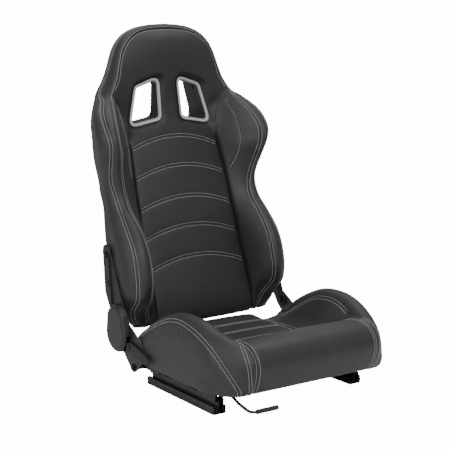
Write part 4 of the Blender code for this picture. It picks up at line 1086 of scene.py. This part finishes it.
def build_pad():
    u_edges = []
    width = 0.150
    for d in (0.0, 0.0008, 0.0018, 0.0030, 0.0043, 0.0060, 0.0085, 0.0120):
        u_edges.append(1 - d / width)
    inner = np.linspace(-u_edges[-1], u_edges[-1], 60)[1:-1]
    cols = np.array(sorted([-e for e in u_edges] + inner.tolist() + u_edges))
    rows = set()
    for z in ARCS:
        for d in (0.0,) + NEAR:
            rows |= {round(z + d, 5), round(z - d, 5)}
    for z in np.arange(0.1270, 0.8985, 0.0045):
        if min(abs(z - a) for a in ARCS) > 0.0095:
            rows.add(round(float(z), 5))
    rows |= {0.8995, 0.9008, 0.9020, 0.9030, PAD_TOP}
    rows = np.array(sorted(rows))
    g = pad_points(rows, cols)
    soft_rows = np.array(sorted(set(np.round(np.arange(0.1270, 0.9035, 0.0088), 5)) | set(ARCS) | {PAD_TOP}))
    keep = [0]
    for i in range(1, len(soft_rows)):
        near_arc = min(abs(soft_rows[i] - a) for a in ARCS) < 1e-6
        if soft_rows[i] - soft_rows[keep[-1]] < 0.0045:
            if near_arc:
                keep[-1] = i
            continue
        keep.append(i)
    soft_rows = soft_rows[keep]
    soft_cols = np.linspace(-1, 1, 37)
    base = pad_points(soft_rows, soft_cols)
    pinned = pins(base)
    for i, v in enumerate(soft_rows):
        if min(abs(v - a) for a in ARCS) < 1e-6:
            pinned[i] = True
    around = outside_outline(base[..., 0], base[..., 2], SLOT_FLANGE + 0.002)
    pinned |= around < 0.004
    n = normals_of(g)
    sign = facing(n, len(n) // 2, len(cols) // 2, (0, -1, 0))
    move = spread(puff(base, pinned, sign, 0.0050, 4.0), soft_rows, soft_cols, rows, cols)
    g = g + move
    n = normals_of(g) * sign
    dip = np.zeros(g.shape[:2])
    for z in ARCS:
        row = int(np.argmin(np.abs(rows - z)))
        dip += seam_dip(distance_across(g, row, 0))
    top_seam = step(0.728, 0.742, g[..., 2])
    edge_d = np.minimum(np.abs(distance_across(g, 0)), np.abs(distance_across(g, len(cols) - 1)))
    edge_d = np.minimum(edge_d, np.abs(distance_across(g, len(rows) - 1, 0)))
    dip += seam_dip(edge_d) * top_seam
    g = g - n * dip[..., None]
    # the cover rolls down to the bezels' seats
    away = outside_outline(g[..., 0], g[..., 2], SLOT_FLANGE + 0.001)
    seat = flange_seat(g[..., 0], g[..., 2]) + 0.0008
    pull = 1 - step(0.0, 0.013, away)
    g[..., 1] = g[..., 1] * (1 - pull) + np.maximum(seat, g[..., 1]) * pull
    g[..., 1] = np.where(away < 0, seat, g[..., 1])
    n = normals_of(g) * sign
    for z in ARCS:
        row = int(np.argmin(np.abs(rows - z)))
        for offset in (-SEAM_OFFSET, SEAM_OFFSET):
            pts, nrm = offset_line(g, n, row, offset, 0)
            stitch(pts[6:-6], nrm[6:-6], "backrest")
    # the stitch row inside the headrest's seam: up one side, over the top and down
    left, left_n = offset_line(g, n, len(cols) - 1, -SEAM_OFFSET)
    right, right_n = offset_line(g, n, 0, SEAM_OFFSET)
    over, over_n = offset_line(g, n, len(rows) - 1, -SEAM_OFFSET, 0)
    up = (left[:, 2] > 0.735) & (np.arange(len(rows)) < len(rows) - 4)
    path = np.concatenate([left[up], over[::-1][2:-2], right[up][::-1]])
    path_n = np.concatenate([left_n[up], over_n[::-1][2:-2], right_n[up][::-1]])
    far = [0]
    for i in range(1, len(path)):
        if np.linalg.norm(path[i] - path[far[-1]]) > 0.003:
            far.append(i)
    stitch(smoothed(path[far], 1.5), path_n[far], "backrest")
    back = []
    for t in (0.0, 0.25, 0.5, 0.75, 1.0):
        x = g[:, -1, 0] * (1 - t) + g[:, 0, 0] * t
        zz = g[:, -1, 2] * (1 - t) + g[:, 0, 2] * t
        back.append(np.stack([x * 0.99, back_plane(zz), zz], axis=1))
    obj = closed_piece("back_centre_cover", g, np.stack(back, axis=1), [CENTRE_HIDE],
                       "backrest")
    recess = shifted(tray_rings(((0.0010, TRAY_FLOOR - 0.0006), (0.0010, 0.70))))
    cut(obj, [tunnel(s, BEZEL_WALL + 0.0010, 0.50, 0.70) for s in (-1, 1)] + [recess], CENTRE_HIDE)
    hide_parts("back_centre_pad")


def build_bezels():
    flange = (
        (0.0100, 0.0005), (0.0100, -0.0014), (0.0097, -0.0030), (0.0090, -0.0044), (0.0079, -0.0054),
        (0.0066, -0.0058), (0.0052, -0.0056), (0.0042, -0.0049), (0.0035, -0.0038), (0.0031, -0.0024),
        (0.0024, -0.0016), (0.0012, -0.0012), (0.0004, -0.0002), (0.0000, 0.0014), (0.0000, 0.0060),
    )
    through = (
        (0.0, 0.5790), (0.0, 0.5885), (0.0004, 0.5900), (0.0012, 0.5905), (0.0020, 0.5902),
        (0.0025, 0.5892), (0.0025, 0.5820), (0.0025, 0.5780),
    )
    for side, sign in (("right", -1.0), ("left", 1.0)):
        rings = []
        for grow, dy in flange:
            o = slot_outline(grow)
            rings.append([(sign * x, flange_seat(x, z) + dy, z) for x, z in o])
        for grow, y in through:
            o = slot_outline(grow)
            rings.append([(sign * x, y, z) for x, z in o])
        o = slot_outline(0.0040)
        rings.append([(sign * x, flange_seat(x, z) + 0.0010, z) for x, z in o])
        g = np.array(rings)
        nr, nc = g.shape[:2]
        faces = loft_faces(nr, nc, True, True)
        obj = to_object(f"harness_bezel_frame_{side}", g.reshape(-1, 3), faces, [BEZEL, SHELL_AND_SLOT_SHADE], "backrest")
        # painted shade: the inner wall of the opening gets the dark shell plastic, standing in for the shadow
        # inside the tunnel
        for poly in obj.data.polygons:
            towards = abs(poly.normal.y) < 0.8
            x, y, z = poly.center
            if towards and y > flange_seat(x, z) + SHIFT_Y - 0.0026:
                poly.material_index = 1
        obj.data.set_sharp_from_angle(angle=math.radians(50))
        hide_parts(f"harness_bezel_{side}")


# ---- back shell --------------------------------------------------------------------------
SHELL_HALF = (
    (0.165, 0.224), (0.240, 0.224), (0.320, 0.221), (0.420, 0.213), (0.520, 0.211), (0.620, 0.205),
    (0.690, 0.190), (0.740, 0.160), (0.800, 0.137), (0.850, 0.115), (0.876, 0.101), (0.893, 0.084),
)


def shell_rear(z):
    base = np.maximum(back_plane(z), 0.610 * step(0.585, 0.62, z))
    return base + 0.0330 - 0.38 * np.maximum(0.0, z - 0.850)


def foam_edge(x, z):
    """The back of the foam where the shell's lip meets it."""
    rows = [(r[0], r[5][0] - 0.014, min(r[5][1] + 0.012, float(back_plane(r[0])) - 0.001)) for r in BOLSTER]
    rows = np.array(rows)
    edge_x = np.interp(z, rows[:, 0], rows[:, 1])
    edge_y = np.interp(z, rows[:, 0], rows[:, 2])
    plane = back_plane(z)
    t = np.clip((x - half_width(z)) / np.maximum(edge_x - half_width(z), 0.01), 0, 1)
    return np.where(z > BOLSTER[-1][0], plane, plane + (edge_y - plane) * t)


def build_shell():
    table = np.array(SHELL_HALF)
    heights = np.linspace(0.165, 0.893, 150)
    half = smoothed(hermite(table[:, 0], table[:, 1], heights), 4)
    rear = smoothed(shell_rear(heights), 4)
    lip = smoothed(foam_edge(half, heights) + 0.0050, 4)
    rows = []
    for z, h, r, front in zip(heights, half, rear, lip):
        section = [(h, front, z), (h + 0.0004, (front + r) / 2, z), (h - 0.0005, r - 0.010, z),
                   (h - 0.0035, r - 0.0045, z), (h - 0.010, r - 0.0012, z), (h - 0.030, r, z),
                   (h * 0.55, r + 0.0012, z), (h * 0.5, r + 0.0012, z), (0.0, r + 0.002, z)]
        right = [(-x, y, w) for x, y, w in reversed(section[:-1])]
        dense = arc_sample(section + right, np.linspace(0, 1, 72))
        rows.append(dense)
    g = np.array(rows)
    # a shallow pressed panel follows the outline on the rear face
    x, z = g[..., 0], g[..., 2]
    frame_x = np.abs(x) - (np.interp(z, heights, half) - 0.034)
    frame_z = np.maximum(z - 0.600, 0.205 - z)
    inside = np.maximum(frame_x, frame_z)
    g[..., 1] -= 0.0028 * (1 - step(-0.010, 0.0, inside)) * step(0.30, 0.5, (g[..., 1] - g[:, :1, 1]) / 0.05)

    # rounded top and bottom edges
    def capped(row, lift):
        centre = np.array([0.0, row[:, 1].min(), 0.0])
        out = []
        for inset, rise in ((0.0015, 0.0022), (0.0040, 0.0034), (0.014, 0.0040), (0.026, 0.0042)):
            ring = row.copy()
            scale = 1 - inset / 0.12
            ring[:, 0] *= scale
            ring[:, 1] = np.maximum(ring[:, 1] - inset * 1.1, np.minimum(row[:, 1], row[0, 1]))
            ring[:, 2] += lift * rise
            out.append(ring)
        return out

    low = list(reversed(capped(g[0], -1.0)))
    high = capped(g[-1], 1.0)
    g = np.array(low + list(g) + high)
    nr, nc = g.shape[:2]
    obj = to_object("back_shell_moulding", g.reshape(-1, 3), loft_faces(nr, nc, False, False, False),
                    [SHELL_AND_SLOT_SHADE], "backrest")
    solid = obj.modifiers.new("wall", "SOLIDIFY")
    solid.thickness = 0.0028
    solid.offset = -1.0
    obj.data = evaluated(obj)
    obj.modifiers.clear()
    cut(obj, [shifted(tray_rings(((0.0010, 0.50), (0.0010, 0.72))))], SHELL_AND_SLOT_SHADE)
    obj.data.set_sharp_from_angle(angle=math.radians(40))
    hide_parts("back_shell")


# ---- cushion -----------------------------------------------------------------------------
def cushion_surface():
    stations = []
    lines = zip(CB_BASE, CB_INNER, CB_CREST, CB_SEAM, CB_SIDE, CB_FOOT_Y)
    for base, inner, crest, seam, side, foot_y in lines:
        b, i, c, s, e = (np.array(p, float) for p in (base, inner, crest, seam, side))
        wide = np.linalg.norm(i - b)
        sag = min(0.30, wide / 0.28) * wide
        inward = np.array([0.0, 0.0, -1.0]) if wide > 0.03 else np.array([0.0, 0.0, 0.0])
        mid = (b + i) / 2 + inward * sag * 0.34
        foot = np.array([max(e[0] - 0.001, s[0]), foot_y, 0.0630])
        low = foot + (e - foot) * 0.12 + np.array([0.0012, 0, 0])
        stations.append([
            [b, (b * 0.68 + i * 0.32) + inward * sag * 0.30, mid,
             (b * 0.28 + i * 0.72) + inward * sag * 0.24, i],
            ridge(i, c, s),
            [s, s * 0.5 + e * 0.5 + np.array([0.0016, 0.0, 0.0006]), e,
             (e + foot) / 2 + np.array([0.0010, 0, 0]), low, foot],
        ])
    return Surface(stations, 1.8, 0.0035)


def build_cushion_bolsters():
    surf = cushion_surface()
    widths = surf.widths()
    cols = all_columns(widths, {0, 1, 2}, 0.0052)
    inner = int(np.argmin(np.abs(cols - 1.0)))
    outer = int(np.argmin(np.abs(cols - 2.0)))
    rows = np.linspace(0, surf.length, int(surf.length / 0.0030))
    g = surf.at(rows, cols)
    soft_rows = np.linspace(0, surf.length, int(surf.length / 0.008))
    soft_cols = np.concatenate([np.linspace(0, 1, 9), np.linspace(1, 2, 8)[1:], np.linspace(2, 3, 12)[1:]])
    base = surf.at(soft_rows, soft_cols)
    pinned = pins(base, 8, 15)
    n = normals_of(g)
    sign = facing(n, len(n) // 3, (inner + outer) // 2, (0, 0, 1))
    g = g + spread(puff(base, pinned, sign, 0.0036, 3.5), soft_rows, soft_cols, rows, cols)
    n = normals_of(g) * sign
    front = 1 - step(0.000, 0.020, g[:, inner, 1])[:, None]
    dip = seam_dip(distance_across(g, 0)) + seam_dip(distance_across(g, outer))
    dip = dip + seam_dip(distance_across(g, inner)) * (1 - front)
    g = g - n * dip[..., None]
    n = normals_of(g) * sign
    for side, flip in (("left", 1.0), ("right", -1.0)):
        grid = g if flip > 0 else mirror(g)
        ng = n if flip > 0 else mirror(n)
        for col, offset, test in (
            (0, SEAM_OFFSET, None), (inner, -SEAM_OFFSET, "rear"), (inner, SEAM_OFFSET, "rear"),
            (outer, -SEAM_OFFSET, None), (outer, SEAM_OFFSET, None),
        ):
            pts, nrm = offset_line(grid, ng, col, offset)
            keep = np.arange(len(pts)) > 3
            keep &= pts[:, 2] > 0.068
            if test == "rear":
                keep &= pts[:, 1] > 0.012
            stitch(pts[keep], nrm[keep], "seat")
        # a straight double row closes the narrow gusset beside the front roll
        base_z = grid[:, 0, 2]
        front_rows = np.flatnonzero((grid[:, 0, 1] < GUSSET_Y) & (base_z > GUSSET_LOW))
        bow = np.zeros(len(grid))
        bow[front_rows] = np.sin(np.pi * np.linspace(0, 1, len(front_rows)))
        for gap in (GUSSET_GAP, GUSSET_GAP + GUSSET_ROWS_APART):
            pts, nrm = offset_line(grid, ng, 0, gap + GUSSET_BOW * bow)
            stitch(pts[front_rows], nrm[front_rows], "seat")
        under = grid[:, 0] * np.array([1.0, 1.0, 0.0]) + np.array([0.0, 0.0, 0.0625])
        under[:, 0] = flip * 0.186
        under[:, 1] = np.clip(under[:, 1], -0.078, 0.322)
        low = grid[:, -1].copy()
        low[:, 2] = 0.0605
        low[:, 0] = flip * (np.abs(low[:, 0]) - 0.004)
        base_in = under * 0.3 + low * 0.7
        back = np.stack([low, base_in, under], axis=1)
        obj = closed_piece(f"cushion_bolster_cover_{side}", grid, back, [BLACK_HIDE], "seat")
        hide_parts(f"cushion_bolster_{side}")


def build_insert():
    table = np.array(INSERT)
    y_dense = np.linspace(table[0, 0], table[-1, 0], 200)
    z_dense = smoothed(hermite(table[:, 0], table[:, 1], y_dense), 5)
    rows = set()
    for y in CROSS_SEAMS:
        for d in (0.0,) + NEAR:
            rows |= {round(y + d, 5), round(y - d, 5)}
    for y in np.arange(table[0, 0], table[-1, 0], 0.0045):
        if min(abs(y - a) for a in CROSS_SEAMS) > 0.0095:
            rows.add(round(float(y), 5))
    rows = np.array(sorted(rows | {table[-1, 0]}))
    edge = [1 - d / INSERT_HALF for d in (0.0,) + NEAR]
    inner = np.linspace(-edge[-1], edge[-1], 44)[1:-1]
    cols = np.array(sorted([-e for e in edge] + inner.tolist() + edge))

    def points(ys, us):
        y = np.asarray(ys)[:, None]
        u = np.asarray(us)[None, :]
        z = np.interp(y, y_dense, z_dense) + 0.0022 * (1 - u ** 2) - 0.0012 * u ** 4
        return np.stack(np.broadcast_arrays(u * INSERT_HALF, y, z), axis=2).copy()

    g = points(rows, cols)
    soft_rows = np.array(sorted(set(np.round(np.linspace(table[0, 0], table[-1, 0], 38), 4)) - {0.0}))
    soft_rows = np.array([r for r in soft_rows if min(abs(r - a) for a in CROSS_SEAMS) > 0.004])
    soft_rows = np.array(sorted(set(soft_rows) | set(CROSS_SEAMS)))
    soft_cols = np.linspace(-1, 1, 31)
    base = points(soft_rows, soft_cols)
    pinned = pins(base)
    for y in CROSS_SEAMS:
        pinned[int(np.argmin(np.abs(soft_rows - y)))] = True
    n = normals_of(g)
    sign = facing(n, len(n) // 2, len(cols) // 2, (0, 0, 1))
    g = g + spread(puff(base, pinned, sign, 0.0045, 4.0), soft_rows, soft_cols, rows, cols)
    n = normals_of(g) * sign
    dip = np.zeros(g.shape[:2])
    for y in CROSS_SEAMS:
        dip += seam_dip(distance_across(g, int(np.argmin(np.abs(rows - y))), 0))
    dip += seam_dip(distance_across(g, 0)) + seam_dip(distance_across(g, len(cols) - 1))
    g = g - n * dip[..., None]
    n = normals_of(g) * sign
    for y in CROSS_SEAMS:
        row = int(np.argmin(np.abs(rows - y)))
        for offset in (-SEAM_OFFSET, SEAM_OFFSET):
            pts, nrm = offset_line(g, n, row, offset, 0)
            stitch(pts[5:-5], nrm[5:-5], "seat")
    for col, offset in ((0, SEAM_OFFSET), (len(cols) - 1, -SEAM_OFFSET)):
        pts, nrm = offset_line(g, n, col, offset)
        stitch(pts[2:-6], nrm[2:-6], "seat")
    low = np.stack([g[:, -1] * np.array([0.98, 1, 0]) + np.array([0, 0, 0.0610]),
                    g[:, 0] * np.array([0.98, 1, 0]) + np.array([0, 0, 0.0610])], axis=1)
    obj = closed_piece("cushion_insert_cover", g, low, [CENTRE_HIDE], "seat")
    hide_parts("cushion_insert_pad")


def build_roll():
    profile = np.array([(0.0, y, z) for y, z in ROLL])
    line = arc_sample(profile, np.linspace(0, 1, 96))[:, 1:]
    edge = [1 - d / ROLL_HALF for d in (0.0,) + NEAR]
    inner = np.linspace(-edge[-1], edge[-1], 60)[1:-1]
    cols = np.array(sorted([-e for e in edge] + inner.tolist() + edge))

    def points(fractions, us):
        q = np.linspace(0, 1, len(line))
        y = np.interp(fractions, q, line[:, 0])[:, None]
        z = np.interp(fractions, q, line[:, 1])[:, None]
        u = np.asarray(us)[None, :]
        swell = 1.0 + 0.012 * (1 - u ** 2)
        yy = -0.03 + (y + 0.03) * swell
        zz = 0.115 + (z - 0.115) * swell
        zz = np.where(z < 0.07, z, zz)
        return np.stack(np.broadcast_arrays(u * ROLL_HALF, yy, zz), axis=2).copy()

    rows = np.linspace(0, 1, 110)
    g = points(rows, cols)
    soft_rows = np.linspace(0, 1, 48)
    soft_cols = np.linspace(-1, 1, 45)
    base = points(soft_rows, soft_cols)
    pinned = pins(base)
    pinned[:3] = pinned[-2:] = True
    n = normals_of(g)
    sign = facing(n, len(n) // 3, len(cols) // 2, (0, 0, 1))
    g = g + spread(puff(base, pinned, sign, 0.0045, 3.0), soft_rows, soft_cols, rows, cols)
    n = normals_of(g) * sign
    dip = seam_dip(distance_across(g, 0)) + seam_dip(distance_across(g, len(cols) - 1))
    g = g - n * dip[..., None]
    n = normals_of(g) * sign
    for col, offset in ((0, SEAM_OFFSET), (len(cols) - 1, -SEAM_OFFSET)):
        pts, nrm = offset_line(g, n, col, offset)
        stitch(pts[20:-3], nrm[20:-3], "seat")
    columns = np.swapaxes(g, 0, 1)
    nr, nc = columns.shape[:2]
    obj = to_object("front_roll_cover", columns.reshape(-1, 3), loft_faces(nr, nc), [ROLL_HIDE_PAINTED_HIGHLIGHT],
                    "seat")
    tri_caps(obj)
    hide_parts("front_roll")


build_band()
build_wings()
build_pad()
build_bezels()
build_shell()
build_cushion_bolsters()
build_insert()
build_roll()
build_stitches("backrest", THREAD)
build_stitches("seat", THREAD)


# ---- carried-over metal and plastic ------------------------------------------------------
SLOT_OF = {row["node"]: row["material_slot"] for row in frame["record"]["subparts"]}
for name, node in NODES.items():
    if node.hide_render:
        continue
    look = SLOT_LOOKS[SLOT_OF[name]]
    if name.startswith(("arm_bracket_bolt", "back_bolt", "recliner_pin", "recliner_lever_rivet")):
        look = BLACK_ZINC
    node.data.materials.clear()
    node.data.materials.append(look)
    weld = node.modifiers.new("weld", "WELD")
    weld.merge_threshold = 0.00002
    edge = node.modifiers.new("edge", "BEVEL")
    edge.width = 0.00045
    edge.segments = 2
    edge.limit_method = "ANGLE"
    edge.angle_limit = math.radians(34)
    edge.harden_normals = False
    edge.use_clamp_overlap = True


# ---- floor, light and camera -------------------------------------------------------------
def plane(name, size, z, mat):
    mesh = bpy.data.meshes.new(name)
    corners = [(-size, -size, z), (size, -size, z), (size, size, z), (-size, size, z)]
    mesh.from_pydata(corners, [], [(0, 1, 2, 3)])
    mesh.materials.append(mat)
    obj = bpy.data.objects.new(name, mesh)
    bpy.context.scene.collection.objects.link(obj)
    return obj


# seen directly, the surroundings are a bright sweep; they light the seat softly
DIRECT_GLOW = 14.0
AMBIENT = 0.42
floor_mat, floor_tree, floor_shader, _ = nodes_of("pale_floor")
floor_shader.inputs["Base Color"].default_value = (0.80, 0.80, 0.80, 1)
floor_shader.inputs["Roughness"].default_value = 0.9
floor_shader.inputs["Emission Color"].default_value = (1.0, 1.0, 1.0, 1)
floor_path = floor_tree.nodes.new("ShaderNodeLightPath")
floor_glow = maths(floor_tree, "MULTIPLY", floor_path.outputs["Is Camera Ray"], DIRECT_GLOW)
floor_tree.links.new(floor_glow, floor_shader.inputs["Emission Strength"])
plane("floor", 30.0, -0.0004, floor_mat)

world = bpy.data.worlds.new("studio")
bpy.context.scene.world = world
world.use_nodes = True
background = world.node_tree.nodes["Background"]
background.inputs["Color"].default_value = (1.0, 1.0, 1.0, 1)
sky_path = world.node_tree.nodes.new("ShaderNodeLightPath")
sky_glow = maths(world.node_tree, "MULTIPLY", sky_path.outputs["Is Camera Ray"], DIRECT_GLOW)
sky_total = maths(world.node_tree, "ADD", sky_glow, AMBIENT)
world.node_tree.links.new(sky_total, background.inputs["Strength"])


def area_light(name, place, target, size, power):
    data = bpy.data.lights.new(name, "AREA")
    data.shape = "RECTANGLE"
    data.size, data.size_y = size
    data.energy = power
    lamp = bpy.data.objects.new(name, data)
    bpy.context.scene.collection.objects.link(lamp)
    lamp.location = place
    lamp.rotation_euler = (Vector(target) - Vector(place)).to_track_quat("-Z", "Y").to_euler()
    return lamp


area_light("key", (-0.8, -2.4, 2.6), (0, 0, 0.45), (1.8, 1.8), 60)
area_light("fill", (-2.6, -0.6, 1.3), (0, 0, 0.4), (1.4, 1.8), 22)
area_light("top", (0.4, 0.4, 2.8), (0, 0, 0.4), (2.0, 2.0), 30)

camera_data = bpy.data.cameras.new("camera")
camera_data.lens = 101.97
camera_data.sensor_width = 36.0
camera = bpy.data.objects.new("camera", camera_data)
bpy.context.scene.collection.objects.link(camera)
camera.location = (-1.8733, -2.6995, 1.0142)
azimuth, pitch = math.radians(-34.58), math.radians(10.563)
back = Vector((math.sin(azimuth) * math.cos(pitch), -math.cos(azimuth) * math.cos(pitch), math.sin(pitch)))
camera.rotation_euler = (-back).to_track_quat("-Z", "Y").to_euler()
bpy.context.scene.camera = camera
